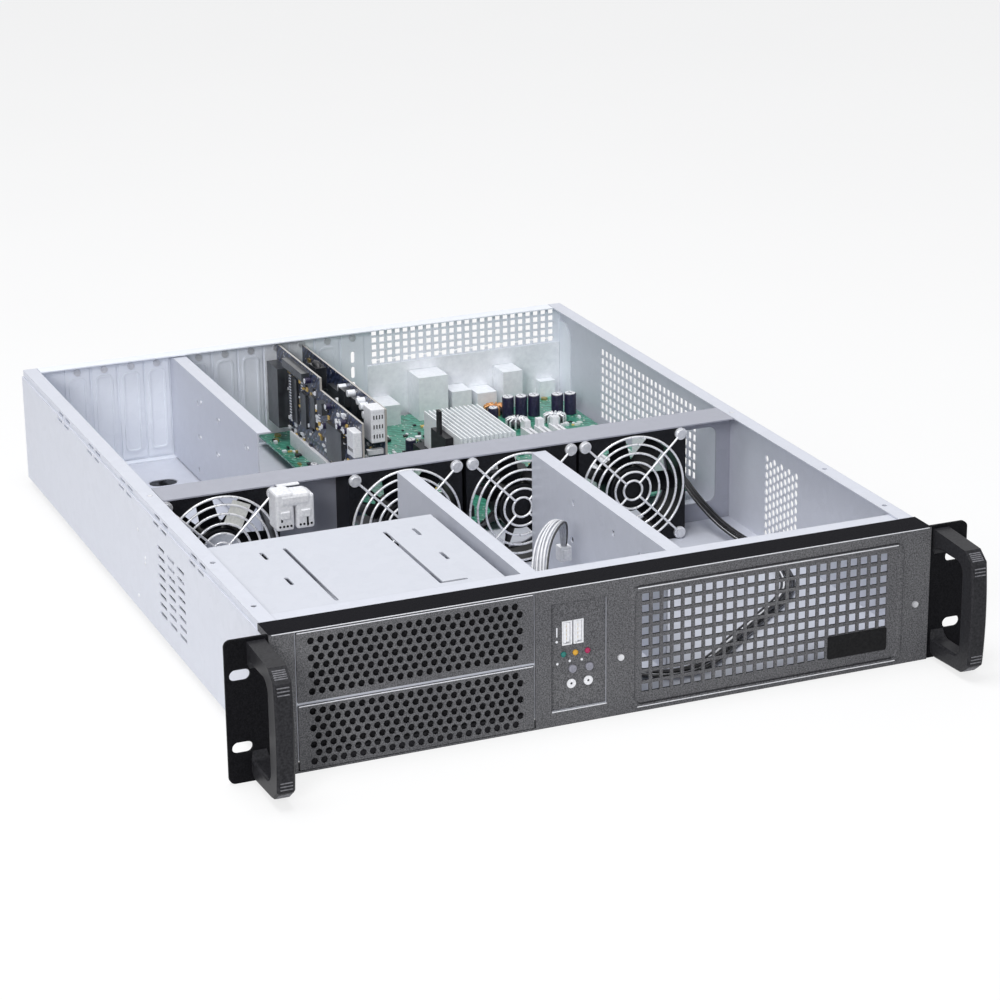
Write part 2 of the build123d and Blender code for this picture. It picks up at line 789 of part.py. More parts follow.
# Fan wall with its top beam
cable_opening = (186.5, 3.5, 33.0, 55.0)
cable_opening_corner = 6.0
wall_foot = 10.0
beam_tab_set_back = 3.0
beam_tab_edge = fan_size / 2 - fan_x[0] + lap
with BuildPart() as fan_wall:
    with BuildSketch(upright(fan_back + sheet)) as wall_face:
        with Locations((0, (floor_top + joggle_level - sheet) / 2)):
            Rectangle(2 * wall_inner, joggle_level - sheet - floor_top)
        with Locations((0, (floor_top + flange_under) / 2)):
            Rectangle(2 * (seat_inner - lap), flange_under - floor_top)
        with Locations((0, (floor_top + panel_top) / 2)):
            Rectangle(2 * (side_flange_edge - lap), panel_top - floor_top)
        with Locations(*[(x, fan_z) for x in fan_x]):
            Circle(fan_bore - 1, mode=Mode.SUBTRACT)
        with Locations(*[(x, fan_z) for x in fan_x]):
            with GridLocations(2 * fan_hole_offset, 2 * fan_hole_offset, 2, 2):
                Circle(fan_hole_radius, mode=Mode.SUBTRACT)
        with Locations(cable_opening[:2]):
            RectangleRounded(*cable_opening[2:], cable_opening_corner, mode=Mode.SUBTRACT)
    extrude(amount=sheet)
    block((lap - side_flange_edge, side_flange_edge - lap), (beam_front, fan_back), (flange_under, panel_top))
    block(
        (-wall_inner, wall_inner),
        (fan_back + sheet, fan_back + sheet + wall_foot),
        (floor_top, floor_top + sheet),
    )
    for side in (-1, 1):
        block(
            mirrored_span(side, beam_tab_edge, seat_inner - lap),
            (beam_front + beam_tab_set_back, fan_back),
            (flange_under - sheet, flange_under),
        )
        rod(
            Plane.XY.offset(flange_under - 2 * sheet),
            side * tie_hole_x,
            beam_screw_y,
            screw_radius + screw_clearance,
            2 * sheet,
            mode=Mode.SUBTRACT,
        )
finish(fan_wall, "fan_wall")

# Fans: frame with its motor, rotor on the motor's shaft, and wire finger guard
strut_width = 4.0
strut_depth = 3.0
frame_corner = 4.0
motor_length = 8.0
motor_neck_radius = 4.0
shaft_inset = 0.5
blade_root = hub_radius - 1.0
blade_tip = rotor_radius
blade_width = 15.0
blade_thickness = 1.4
blade_angles = (48.0, 28.0)
rotor_front = fan_front + 1.2
hub_edge = 1.5
hub_overlap = 6.0
strut_front = fan_back - strut_depth
hub_rear = strut_front - motor_length - rotor_gap + hub_overlap
spoke_sink = 0.5
spoke_stop = 3.2
eyelet_radius = 4.2
guard_plane = fan_front - guard_wire / 2

for number, x in enumerate(fan_x, start=1):
    fan_centre = (x, fan_z)
    with BuildPart() as fan_frame:
        with BuildSketch(upright(fan_back)) as frame_section:
            with Locations(fan_centre):
                RectangleRounded(fan_size, fan_size, frame_corner)
                Circle(fan_bore, mode=Mode.SUBTRACT)
                with GridLocations(2 * fan_hole_offset, 2 * fan_hole_offset, 2, 2):
                    Circle(fan_hole_radius, mode=Mode.SUBTRACT)
        extrude(amount=fan_depth)
        with BuildSketch(upright(fan_back)) as strut_section:
            with Locations(fan_centre):
                with PolarLocations((fan_bore + motor_radius) / 2, 4, start_angle=45):
                    Rectangle(fan_bore - motor_radius + strut_depth, strut_width)
                Circle(motor_radius)
        extrude(amount=strut_depth)
        rod(upright(strut_front), *fan_centre, motor_neck_radius, strut_front - hub_rear - rotor_gap)
        rod(upright(fan_back), *fan_centre, shaft_radius + shaft_fit, fan_depth, mode=Mode.SUBTRACT)
    finish(fan_frame, f"fan_frame_{number}")

    with BuildPart() as fan_rotor:
        rod(upright(hub_rear), *fan_centre, hub_radius, hub_rear - rotor_front)
        fillet(fan_rotor.faces().sort_by(Axis.Y)[0].edges(), hub_edge)
        shaft_end = fan_back - shaft_inset
        rod(upright(shaft_end), *fan_centre, shaft_radius, shaft_end - hub_rear)
        blade_middle = (rotor_front + hub_rear) / 2
        for blade in range(blade_count):
            turn = 360 * blade / blade_count
            outward = (cos(radians(turn)), 0, sin(radians(turn)))
            blade_ends = []
            for radius, angle in zip((blade_root, blade_tip), blade_angles):
                foot = (x + outward[0] * radius, blade_middle, fan_z + outward[2] * radius)
                with BuildSketch(Plane(foot, x_dir=(0, 1, 0), z_dir=outward)) as blade_section:
                    Rectangle(blade_width, blade_thickness, rotation=angle)
                blade_ends.append(blade_section.sketch)
            loft(blade_ends)
    finish(fan_rotor, f"fan_rotor_{number}")

    with BuildPart() as finger_guard:
        for radius in guard_rings:
            with Locations(Location((x, guard_plane, fan_z), (90, 0, 0))):
                Torus(radius, guard_wire / 2)
        spoke_start = guard_rings[0]
        spoke_end = fan_hole_offset * 2**0.5 - spoke_stop
        for turn in (45, 135, 225, 315):
            outward = (cos(radians(turn)), 0, sin(radians(turn)))
            foot = (x + outward[0] * spoke_start, guard_plane - spoke_sink, fan_z + outward[2] * spoke_start)
            with BuildSketch(Plane(foot, z_dir=outward)) as spoke_section:
                Circle(guard_wire / 2)
            extrude(amount=spoke_end - spoke_start)
        with BuildSketch(upright(fan_front)) as eyelet_face:
            with Locations(fan_centre):
                with GridLocations(2 * fan_hole_offset, 2 * fan_hole_offset, 2, 2):
                    Circle(eyelet_radius)
                    Circle(fan_hole_radius, mode=Mode.SUBTRACT)
        extrude(amount=guard_wire)
    finish(finger_guard, f"finger_guard_{number}")

fan_screw_head = 3.0
fan_screw_end = fan_back + sheet + 2.0
with BuildPart() as fan_screws:
    for x in fan_x:
        for across in (-fan_hole_offset, fan_hole_offset):
            for up in (-fan_hole_offset, fan_hole_offset):
                place = (x + across, fan_z + up)
                guard_front = fan_front - guard_wire
                rod(upright(fan_screw_end), *place, fan_screw_radius, fan_screw_end - guard_front)
                rod(upright(guard_front), *place, fan_screw_head, guard_wire)
finish(fan_screws, "fan_screws")

# Drive power plugs clipped to the beam's front edge
plug_left = -134.0
plug_pitch = 13.5
plug_width = 12.5
plug_half_height = 6.0
plug_depth = 15.0
plug_levels = (24.0, 37.5)
plug_gap = 2.0
plug_bridge_depth = 8.0
bridge_ends = (4.0, 3.0)
bridge_rise = (1.75, 2.25)
link_span = (11.5, 15.0)
link_reach = (4.0, 4.5)
clip_ends = (6.0, 5.0)
clip_depth = 3.0
pin_first = 1.4
pin_width = 1.8
pin_pitch = 2.5
pin_half_height = 3.5
pin_depth = 5.0
plug_rear = fan_front - guard_wire - plug_gap
plug_front = plug_rear - plug_depth
with BuildPart() as power_plugs:
    for left in (plug_left, plug_left + plug_pitch):
        for level in plug_levels:
            block(
                (left, left + plug_width),
                (plug_front, plug_rear),
                (level - plug_half_height, level + plug_half_height),
            )
            for pin in range(4):
                pin_left = left + pin_first + pin_pitch * pin
                block(
                    (pin_left, pin_left + pin_width),
                    (plug_front - sheet, plug_front + pin_depth),
                    (level - pin_half_height, level + pin_half_height),
                    mode=Mode.SUBTRACT,
                )
    plugs_right = plug_left + plug_pitch + plug_width
    level_middle = sum(plug_levels) / 2
    bridge_span = (plug_rear - plug_bridge_depth, plug_rear)
    block(
        (plug_left + bridge_ends[0], plugs_right - bridge_ends[1]),
        bridge_span,
        (level_middle - bridge_rise[0], level_middle + bridge_rise[1]),
    )
    block(
        tuple(plug_left + edge for edge in link_span),
        bridge_span,
        (plug_levels[0] - link_reach[0], plug_levels[1] + link_reach[1]),
    )
    block(
        (plug_left + clip_ends[0], plugs_right - clip_ends[1]),
        (plug_rear - clip_depth, beam_front),
        (flange_under, panel_top),
    )
finish(power_plugs, "power_plugs")

# Rear slot covers with an embossed frame, screwed to the rear panel
cover_back = rear_inner
cover_corner = 1.0
emboss = (13.0, 62.0, 4.0, 1.5, 0.7)
emboss_drop = 1.0
vent_levels = (22.0, 10.0, -2.0, -14.0)
vent_size = (9.0, 3.0)


def slot_cover_face(x):
    """One blank cover with its raised frame."""
    with BuildSketch(upright(cover_back)) as plate:
        with Locations((x, (cover_bottom + cover_top) / 2)):
            RectangleRounded(cover_width, cover_top - cover_bottom, cover_corner)
        with Locations((x, slot_screw_z)):
            Circle(screw_radius + screw_clearance, mode=Mode.SUBTRACT)
    extrude(plate.sketch, amount=sheet)


def slot_cover_frame(x):
    """Raised frame on a blank cover."""
    width, height, corner, band, rise = emboss
    with BuildSketch(upright(cover_back - sheet)) as frame:
        with Locations((x, (window_bottom + window_top) / 2 - emboss_drop)):
            RectangleRounded(width, height, corner)
            RectangleRounded(width - 2 * band, height - 2 * band, corner - band, mode=Mode.SUBTRACT)
    extrude(frame.sketch, amount=rise)


blank_right = [x for k, x in enumerate(right_slots) if k not in card_slots and k != vented_slot]
for name, places in {"slot_covers_left": left_slots, "slot_covers_right": blank_right}.items():
    with BuildPart() as slot_covers:
        for x in places:
            slot_cover_face(x)
            slot_cover_frame(x)
    finish(slot_covers, name)

with BuildPart() as slot_cover_vented:
    vented_x = right_slots[vented_slot]
    slot_cover_face(vented_x)
    with BuildSketch(upright(cover_back + sheet)) as vent_face:
        with Locations(*[(vented_x, level) for level in vent_levels]):
            SlotOverall(*vent_size, rotation=90)
    extrude(amount=3 * sheet, mode=Mode.SUBTRACT)
finish(slot_cover_vented, "slot_cover_vented")

with BuildPart() as slot_screws:
    for x in all_slots:
        rod(upright(body_length), x, slot_screw_z, screw_radius, 2 * sheet)
        rod(upright(cover_back - sheet), x, slot_screw_z, screw_head_radius, screw_head_height)
finish(slot_screws, "slot_screws")

# Divider between the rear left bay and the board
divider_holes = ((488, 24), (442, 24), (489, -2), (378.5, 24), (445.3, -2), (492, -28))
with BuildPart() as rear_divider:
    with BuildSketch(upright(cover_back)) as divider_section:
        with Locations((divider_x, (floor_top + 2 * sheet + divider_top) / 2)):
            Rectangle(sheet, divider_top - floor_top - 2 * sheet)
        for level in (floor_top + 1.5 * sheet, divider_top - sheet / 2):
            with Locations((divider_x - sheet / 2 + partition_flange / 2, level)):
                Rectangle(partition_flange, sheet)
    extrude(amount=cover_back - divider_front)
    with BuildSketch(sideways(divider_x - sheet)) as divider_face:
        with Locations(*divider_holes):
            Circle(partition_hole_radius)
    extrude(amount=2 * sheet, mode=Mode.SUBTRACT)
finish(rear_divider, "rear_divider")

# Motherboard and what stands on it
board_middle = ((board_left + board_right) / 2, (board_front + board_rear) / 2)
standoff_grid = (220.0, 114.0)
with BuildPart() as motherboard:
    with BuildSketch(Plane.XY.offset(board_under)) as board_face:
        with Locations(board_middle):
            Rectangle(board_right - board_left, board_rear - board_front)
            with GridLocations(*standoff_grid, 2, 3):
                Circle(screw_radius + screw_clearance, mode=Mode.SUBTRACT)
    extrude(amount=board_thickness)
finish(motherboard, "motherboard")

with BuildPart() as board_standoffs:
    with BuildSketch(Plane.XY.offset(floor_top)) as standoff_face:
        with Locations(board_middle):
            with GridLocations(*standoff_grid, 2, 3):
                Circle(standoff_radius)
    extrude(amount=standoff_height)
    with BuildSketch(Plane.XY.offset(board_under)) as board_screw_face:
        with Locations(board_middle):
            with GridLocations(*standoff_grid, 2, 3):
                Circle(screw_radius)
    extrude(amount=board_thickness)
    with BuildSketch(Plane.XY.offset(board_top)) as board_head_face:
        with Locations(board_middle):
            with GridLocations(*standoff_grid, 2, 3):
                Circle(screw_head_radius)
    extrude(amount=screw_head_height)
finish(board_standoffs, "board_standoffs")

card_x = [right_slots[k] for k in card_slots]
connector_x = [*card_x, card_x[-1] + slot_pitch]
groove_inset = 2.0
with BuildPart() as expansion_slots:
    for x in connector_x:
        block(
            (x - connector_width / 2, x + connector_width / 2),
            (connector_front, connector_front + connector_length),
            (board_top, board_top + connector_height),
        )
        block(
            (x - connector_groove / 2, x + connector_groove / 2),
            (connector_front + groove_inset, connector_front + connector_length - groove_inset),
            (board_top + groove_inset, board_top + connector_height),
            mode=Mode.SUBTRACT,
        )
finish(expansion_slots, "expansion_slots")

memory_x = (143.0, 154.0, 166.0)
memory_front = 330.0
memory_rear = 463.0
memory_half_width = 3.3
memory_groove_half = 0.9
memory_height = 8.0
latch_length = 6.0
latch_half_width = 2.5
power_socket_span = ((190.0, 201.0), (322.0, 374.0))
power_socket_top = board_top + 13
with BuildPart() as board_sockets:
    block(*power_socket_span, (board_top, power_socket_top))
    memory_top = board_top + memory_height
    for x in memory_x:
        block(
            (x - memory_half_width, x + memory_half_width),
            (memory_front, memory_rear),
            (board_top, memory_top),
        )
        block(
            (x - memory_groove_half, x + memory_groove_half),
            (memory_front + latch_length, memory_rear - latch_length),
            (board_top + groove_inset, memory_top),
            mode=Mode.SUBTRACT,
        )
        for y in (memory_front, memory_rear - latch_length):
            block(
                (x - latch_half_width, x + latch_half_width),
                (y, y + latch_length),
                (memory_top, memory_top + latch_length),
            )
finish(board_sockets, "board_sockets")

chip_sizes = (
    ((-28.0, 330.0), (22.0, 22.0), 3.0),
    ((12.0, 350.0), (30.0, 30.0), 3.2),
    ((40.0, 345.0), (12.0, 16.0), 2.4),
    ((-30.0, 372.0), (10.0, 14.0), 2.0),
    ((40.0, 500.0), (14.0, 14.0), 2.0),
    ((-29.0, 400.0), (8.0, 16.0), 4.0),
    ((72.0, 470.0), (18.0, 12.0), 5.0),
    ((100.0, 480.0), (10.0, 16.0), 9.0),
    ((-4.0, 316.0), (30.0, 9.0), 9.0),
    ((28.0, 318.0), (26.0, 6.0), 8.0),
)
with BuildPart() as board_chips:
    for (x, y), (width, length), height in chip_sizes:
        block(
            (x - width / 2, x + width / 2),
            (y - length / 2, y + length / 2),
            (board_top, board_top + height),
        )
finish(board_chips, "board_chips")

capacitor_places = (
    (150.3, 512.0, 4.6, 17.0),
    (160.3, 509.5, 4.6, 17.0),
    (170.3, 508.0, 4.6, 17.0),
    (187.5, 502.5, 4.6, 17.0),
    (197.5, 500.5, 4.6, 17.0),
    (110.0, 500.0, 4.0, 14.0),
    (122.0, 503.0, 4.0, 14.0),
    (133.0, 500.0, 4.0, 14.0),
    (104.0, 452.0, 4.0, 12.0),
    (50.0, 460.0, 4.0, 12.0),
    (20.0, 383.0, 3.2, 10.0),
    (-32.0, 442.0, 3.2, 10.0),
    (-32.0, 352.0, 3.2, 10.0),
)
coil_places = ((147.5, 488.0), (178.0, 486.0), (145.0, 525.0))
coil_ring = 5.5
coil_wire = 3.5
with BuildPart() as capacitors_and_coils:
    for x, y, radius, height in capacitor_places:
        rod(Plane.XY.offset(board_top), x, y, radius, height)
    for x, y in coil_places:
        with Locations((x, y, board_top + coil_wire)):
            Torus(coil_ring, coil_wire)
finish(capacitors_and_coils, "capacitors_and_coils")

with BuildPart() as cpu_socket:
    half_socket = socket_size / 2
    block(
        (sink_centre[0] - half_socket, sink_centre[0] + half_socket),
        (sink_centre[1] - half_socket, sink_centre[1] + half_socket),
        (board_top, board_top + socket_height),
    )
finish(cpu_socket, "cpu_socket")

# Heatsink: base and upright fins, with the retaining frame around it
sink_under = board_top + socket_height
fin_gap = (sink_width - fin_thickness) / (fin_count - 1)
with BuildPart() as cpu_heatsink:
    with BuildSketch(upright(sink_centre[1] + sink_length / 2)) as sink_section:
        with Locations((sink_centre[0], sink_under + sink_base / 2)):
            Rectangle(sink_width, sink_base)
        with Locations((sink_centre[0], (sink_under + sink_top) / 2)):
            with GridLocations(fin_gap, 1, fin_count, 1):
                Rectangle(fin_thickness, sink_top - sink_under)
    extrude(amount=sink_length)
finish(cpu_heatsink, "cpu_heatsink")

frame_gap = 0.5
frame_band = 6.0
frame_post = 5.0
frame_level = sink_under + 1.0
frame_height = 7.0
clip_offset = 8.0
clip_half_length = 14.0
clip_drop = 3.0
clip_lever = (2.0, 3.0, 14.0)
with BuildPart() as heatsink_frame:
    with BuildSketch(Plane.XY.offset(frame_level)) as frame_ring:
        with Locations(sink_centre):
            Rectangle(sink_width + 2 * (frame_gap + frame_band), sink_length + 2 * (frame_gap + frame_band))
            Rectangle(sink_width + 2 * frame_gap, sink_length + 2 * frame_gap, mode=Mode.SUBTRACT)
    extrude(amount=frame_height)
    with BuildSketch(Plane.XY.offset(board_top)) as frame_posts:
        with Locations(sink_centre):
            with GridLocations(sink_width + 2 * frame_gap + frame_band, sink_length + frame_band, 2, 2):
                Rectangle(frame_post, frame_post)
    extrude(amount=frame_level + 1 - board_top)
    clip_left = sink_centre[0] - sink_width / 2 - frame_gap - frame_band
    clip_middle = sink_centre[1] - clip_offset
    clip_top = sink_top - clip_drop
    lever_width, lever_half_length, lever_height = clip_lever
    block(
        (clip_left, clip_left + frame_band),
        (clip_middle - clip_half_length, clip_middle + clip_half_length),
        (frame_level + 1, clip_top),
    )
    block(
        (clip_left, clip_left + lever_width),
        (clip_middle - lever_half_length, clip_middle + lever_half_length),
        (clip_top, sink_top + lever_height),
    )
finish(heatsink_frame, "heatsink_frame")

# Port plate and the port blocks behind it
port_blocks = (
    (62.0, 14.0, 26.0, 16.0),
    (97.0, 24.0, 24.0, 34.0),
    (122.0, 16.0, 20.0, 18.0),
    (143.0, 16.0, 20.0, 14.0),
    (164.0, 16.0, 22.0, 29.0),
    (199.0, 13.0, 9.0, 13.0),
)
shield_lap = 0.8
shield_fit = 0.2
port_reach = 5.6
port_wall = (1.5, 2.0)
port_depth = 8.0
with BuildPart() as port_plate:
    with BuildSketch(upright(rear_inner)) as shield_face:
        with Locations(((port_left + port_right) / 2, (port_bottom + port_top) / 2)):
            Rectangle(port_right - port_left + 2 * shield_lap, port_top - port_bottom + 2 * shield_lap)
        for x, width, length, height in port_blocks:
            with Locations((x, board_top + height / 2)):
                Rectangle(width + 2 * shield_fit, height + 2 * shield_fit, mode=Mode.SUBTRACT)
    extrude(amount=sheet)
finish(port_plate, "port_plate")

with BuildPart() as port_sockets:
    for x, width, length, height in port_blocks:
        rear = board_rear + port_reach
        block((x - width / 2, x + width / 2), (rear - length, rear), (board_top, board_top + height))
        block(
            (x - width / 2 + port_wall[0], x + width / 2 - port_wall[0]),
            (rear - port_depth, rear),
            (board_top + port_wall[1], board_top + height - port_wall[1]),
            mode=Mode.SUBTRACT,
        )
finish(port_sockets, "port_sockets")

# Cards: board with its stepped top, tongue in the slot and the parts soldered to its left face
card_outlines = {
    "card_1": ((368.0, 455.0, 32.5), (455.0, card_rear, 41.5)),
    "card_2": ((376.5, card_rear, 38.0),),
}
card_parts = {
    "card_1": (
        ((538.0, 6.5), (24.0, 46.0), 8.5),
        ((420.0, 1.5), (32.0, 27.0), 3.0),
        ((375.5, 17.0), (13.0, 18.0), 6.0),
        ((487.0, 8.0), (12.0, 26.0), 2.4),
        ((508.0, 10.0), (12.0, 34.0), 2.0),
        ((468.0, 12.0), (10.0, 24.0), 2.0),
        ((446.0, 22.0), (10.0, 9.0), 4.0),
        ((500.0, 36.0), (44.0, 6.0), 6.0),
    ),
    "card_2": (
        ((384.0, 26.5), (15.0, 24.0), 10.0),
        ((470.0, 12.0), (30.0, 30.0), 4.0),
        ((506.0, 27.0), (16.0, 16.0), 8.0),
        ((449.0, 27.0), (14.0, 12.0), 6.0),
        ((426.0, 25.0), (12.0, 14.0), 5.0),
    ),
}
tongue_inset = 3.0
for x, (name, parts) in zip(card_x, card_parts.items()):
    with BuildPart() as card:
        face_left = x - card_thickness / 2
        card_span = (face_left, face_left + card_thickness)
        for front, rear, top in card_outlines[name]:
            block(card_span, (front, rear), (card_under, top))
        block(
            card_span,
            (connector_front + tongue_inset, connector_front + connector_length - tongue_inset),
            (board_top + tongue_inset, card_under),
        )
        for (y, level), (length, height), depth in parts:
            block(
                (face_left - depth, face_left),
                (y - length / 2, y + length / 2),
                (level - height / 2, level + height / 2),
            )
    finish(card, name)

bracket_tab_length = 8.0
bracket_tab_levels = (18.0, 27.0)
with BuildPart() as card_brackets:
    for x in card_x:
        slot_cover_face(x)
        edge = x + card_thickness / 2
        block((edge, edge + sheet), (card_rear - bracket_tab_length, cover_back - sheet), bracket_tab_levels)
finish(card_brackets, "card_brackets")

# Leads: a hank behind the control panel and a bundle along the floor to the board
lead_diameter = 6.0
floor_lead_z = floor_top + lead_diameter / 2 + 0.6
board_plug_height = 12.0
board_plug_z = power_socket_top + board_plug_height / 2
hank_plug_cover = 2.0
lead_start = (0.3, 0.7)
lead_routes = {
    "panel_leads": (
        (lead_socket_x[1], lead_socket_y - lead_start[0], lead_z),
        (-10, 36, -24),
        (-9, 58, -20),
        (-6, 78, -8),
        (0, 97, 9),
        (8, 112, 33),
        (27, 141, 36.5),
        (36.8, 154, 12 - hank_plug_cover),
    ),
    "floor_leads": (
        (lead_socket_x[0], lead_socket_y - lead_start[1], lead_z),
        (-25.5, 34, -27),
        (-23, 50, -31.5),
        (-12, 63, floor_lead_z),
        (5, 63, floor_lead_z),
        (19, 51, floor_lead_z),
        (29, 36, floor_lead_z),
        (43, 23, floor_lead_z),
        (62, 20.5, floor_lead_z),
        (82, 30, floor_lead_z),
        (106, 51, floor_lead_z),
        (144, 82, floor_lead_z),
        (180, 112, floor_lead_z),
        (197, 148, floor_lead_z),
        (198, 188, floor_lead_z + 0.5),
        (190, 224, -28.5),
        (187, 258, -19.5),
        (189.5, 292, -12),
        (sum(power_socket_span[0]) / 2, power_socket_span[1][0] + 1, board_plug_z),
    ),
}


def corner_radii(points):
    """Radius of each corner: as large as its two runs allow."""
    places = [Vector(*point) for point in points]
    radii = []
    for before, corner, after in zip(places, places[1:], places[2:]):
        first_run = corner - before
        second_run = after - corner
        turn = radians(first_run.get_angle(second_run))
        radii.append(0.45 * min(first_run.length, second_run.length) / tan(turn / 2))
    return radii


hank_plug_half = (4.5, 4.0)
plug_height = 16.0
with BuildPart() as lead_plugs:
    hank_end = lead_routes["panel_leads"][-1]
    hank_plug_top = hank_end[2] + hank_plug_cover
    block(
        (hank_end[0] - hank_plug_half[0], hank_end[0] + hank_plug_half[0]),
        (hank_end[1] - hank_plug_half[1], hank_end[1] + hank_plug_half[1]),
        (hank_plug_top - plug_height, hank_plug_top),
    )
    block(*power_socket_span, (power_socket_top, power_socket_top + board_plug_height))
finish(lead_plugs, "lead_plugs")

for name, points in lead_routes.items():
    radii = corner_radii(points)
    print(name, "corner radii", [round(radius, 1) for radius in radii])
    with BuildPart() as leads:
        with BuildLine() as route:
            lead_path = FilletPolyline(*points, radius=radii)
        with BuildSketch(Plane(lead_path @ 0, z_dir=lead_path % 0)) as lead_section:
            Circle(lead_diameter / 2)
        sweep(path=lead_path)
        add(control_board.part, mode=Mode.SUBTRACT)
        add(lead_plugs.part, mode=Mode.SUBTRACT)
    section_volume = pi * lead_diameter**2 / 4 * lead_path.length
    print(name, "length", round(lead_path.length, 1), "volume ratio", leads.part.volume / section_volume)
    finish(leads, name)
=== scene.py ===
import math
import random

import bmesh
import bpy
from mathutils import Euler, Matrix, Vector


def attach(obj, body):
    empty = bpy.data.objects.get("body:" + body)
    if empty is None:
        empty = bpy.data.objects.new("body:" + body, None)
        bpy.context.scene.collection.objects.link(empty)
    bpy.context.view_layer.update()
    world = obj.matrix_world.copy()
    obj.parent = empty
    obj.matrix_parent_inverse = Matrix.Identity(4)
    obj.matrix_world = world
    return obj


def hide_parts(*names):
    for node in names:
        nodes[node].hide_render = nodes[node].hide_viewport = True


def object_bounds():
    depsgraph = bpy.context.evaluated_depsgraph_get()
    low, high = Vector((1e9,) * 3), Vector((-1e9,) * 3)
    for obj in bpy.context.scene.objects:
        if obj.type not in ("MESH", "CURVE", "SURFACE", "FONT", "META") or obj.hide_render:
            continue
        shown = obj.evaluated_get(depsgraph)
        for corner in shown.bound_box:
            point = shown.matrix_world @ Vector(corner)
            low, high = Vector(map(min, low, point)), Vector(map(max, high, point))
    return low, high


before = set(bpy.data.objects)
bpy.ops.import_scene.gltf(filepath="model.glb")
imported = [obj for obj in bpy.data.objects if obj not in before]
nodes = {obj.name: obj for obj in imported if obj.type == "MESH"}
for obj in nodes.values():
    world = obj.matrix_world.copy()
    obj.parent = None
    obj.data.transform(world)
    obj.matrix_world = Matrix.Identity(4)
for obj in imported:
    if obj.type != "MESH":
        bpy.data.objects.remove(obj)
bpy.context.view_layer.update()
MM = 0.001
BODY = "case"
FANS = (1, 2, 3, 4)
BOARD_TOP = -28.0
CARD_FACES = (-21.34, -1.02)


# Finishes

def new_finish(name, roughness, metallic=0.0, specular=0.5, coat=0.0):
    """Material with an empty surface shader and the piece's own coordinates."""
    material = bpy.data.materials.new(name)
    material.use_nodes = True
    tree = material.node_tree
    shader = tree.nodes["Principled BSDF"]
    shader.inputs["Roughness"].default_value = roughness
    shader.inputs["Metallic"].default_value = metallic
    shader.inputs["Specular IOR Level"].default_value = specular
    shader.inputs["Coat Weight"].default_value = coat
    place = tree.nodes.new("ShaderNodeTexCoord")
    return material, tree, shader, place


def noise(tree, place, scale, detail=3.0, stretch=(1, 1, 1)):
    """Noise field over the piece, in metres."""
    mapping = tree.nodes.new("ShaderNodeMapping")
    mapping.inputs["Scale"].default_value = stretch
    tree.links.new(place.outputs["Object"], mapping.inputs["Vector"])
    field = tree.nodes.new("ShaderNodeTexNoise")
    field.inputs["Scale"].default_value = scale
    field.inputs["Detail"].default_value = detail
    tree.links.new(mapping.outputs["Vector"], field.inputs["Vector"])
    return field.outputs["Fac"]


def ramp(tree, value, stops):
    """Colour ramp fed by a value; stops are (place, colour)."""
    node = tree.nodes.new("ShaderNodeValToRGB")
    tree.links.new(value, node.inputs["Fac"])
    elements = node.color_ramp.elements
    while len(elements) < len(stops):
        elements.new(0.5)
    for element, (at, colour) in zip(elements, stops):
        element.position = at
        element.color = (*colour, 1)
    return node.outputs["Color"]


def mixed(tree, factor, first, second):
    """Mix of two colours by a factor."""
    node = tree.nodes.new("ShaderNodeMix")
    node.data_type = "RGBA"
    tree.links.new(factor, node.inputs["Factor"])
    for socket, colour in ((node.inputs[6], first), (node.inputs[7], second)):
        if isinstance(colour, tuple):
            socket.default_value = (*colour, 1)
        else:
            tree.links.new(colour, socket)
    return node.outputs[2]


def component(tree, vector, axis):
    """One component of a vector."""
    split = tree.nodes.new("ShaderNodeSeparateXYZ")
    tree.links.new(vector, split.inputs["Vector"])
    return split.outputs[axis]


def share(tree, value, low, high):
    """How far a value has come, from 0 at low to 1 at high."""
    reach = tree.nodes.new("ShaderNodeMapRange")
    reach.inputs["From Min"].default_value = low
    reach.inputs["From Max"].default_value = high
    tree.links.new(value, reach.inputs["Value"])
    return reach.outputs["Result"]


def facing(tree, place, axis, low, high):
    """How far the surface faces along an axis of the piece, from 0 at low to 1 at high."""
    return share(tree, component(tree, place.outputs["Normal"], axis), low, high)


def bump(tree, shader, height, strength, distance, edge=0.0):
    """Fine relief, on top of softened edges where edge is a radius in metres."""
    node = tree.nodes.new("ShaderNodeBump")
    node.inputs["Strength"].default_value = strength
    node.inputs["Distance"].default_value = distance
    tree.links.new(height, node.inputs["Height"])
    if edge:
        soft = tree.nodes.new("ShaderNodeBevel")
        soft.samples = 4
        soft.inputs["Radius"].default_value = edge
        tree.links.new(soft.outputs["Normal"], node.inputs["Normal"])
    tree.links.new(node.outputs["Normal"], shader.inputs["Normal"])


def vary_roughness(tree, shader, field, low, high):
    """Roughness that follows a noise field."""
    node = tree.nodes.new("ShaderNodeMapRange")
    node.inputs["To Min"].default_value = low
    node.inputs["To Max"].default_value = high
    tree.links.new(field, node.inputs["Value"])
    tree.links.new(node.outputs["Result"], shader.inputs["Roughness"])


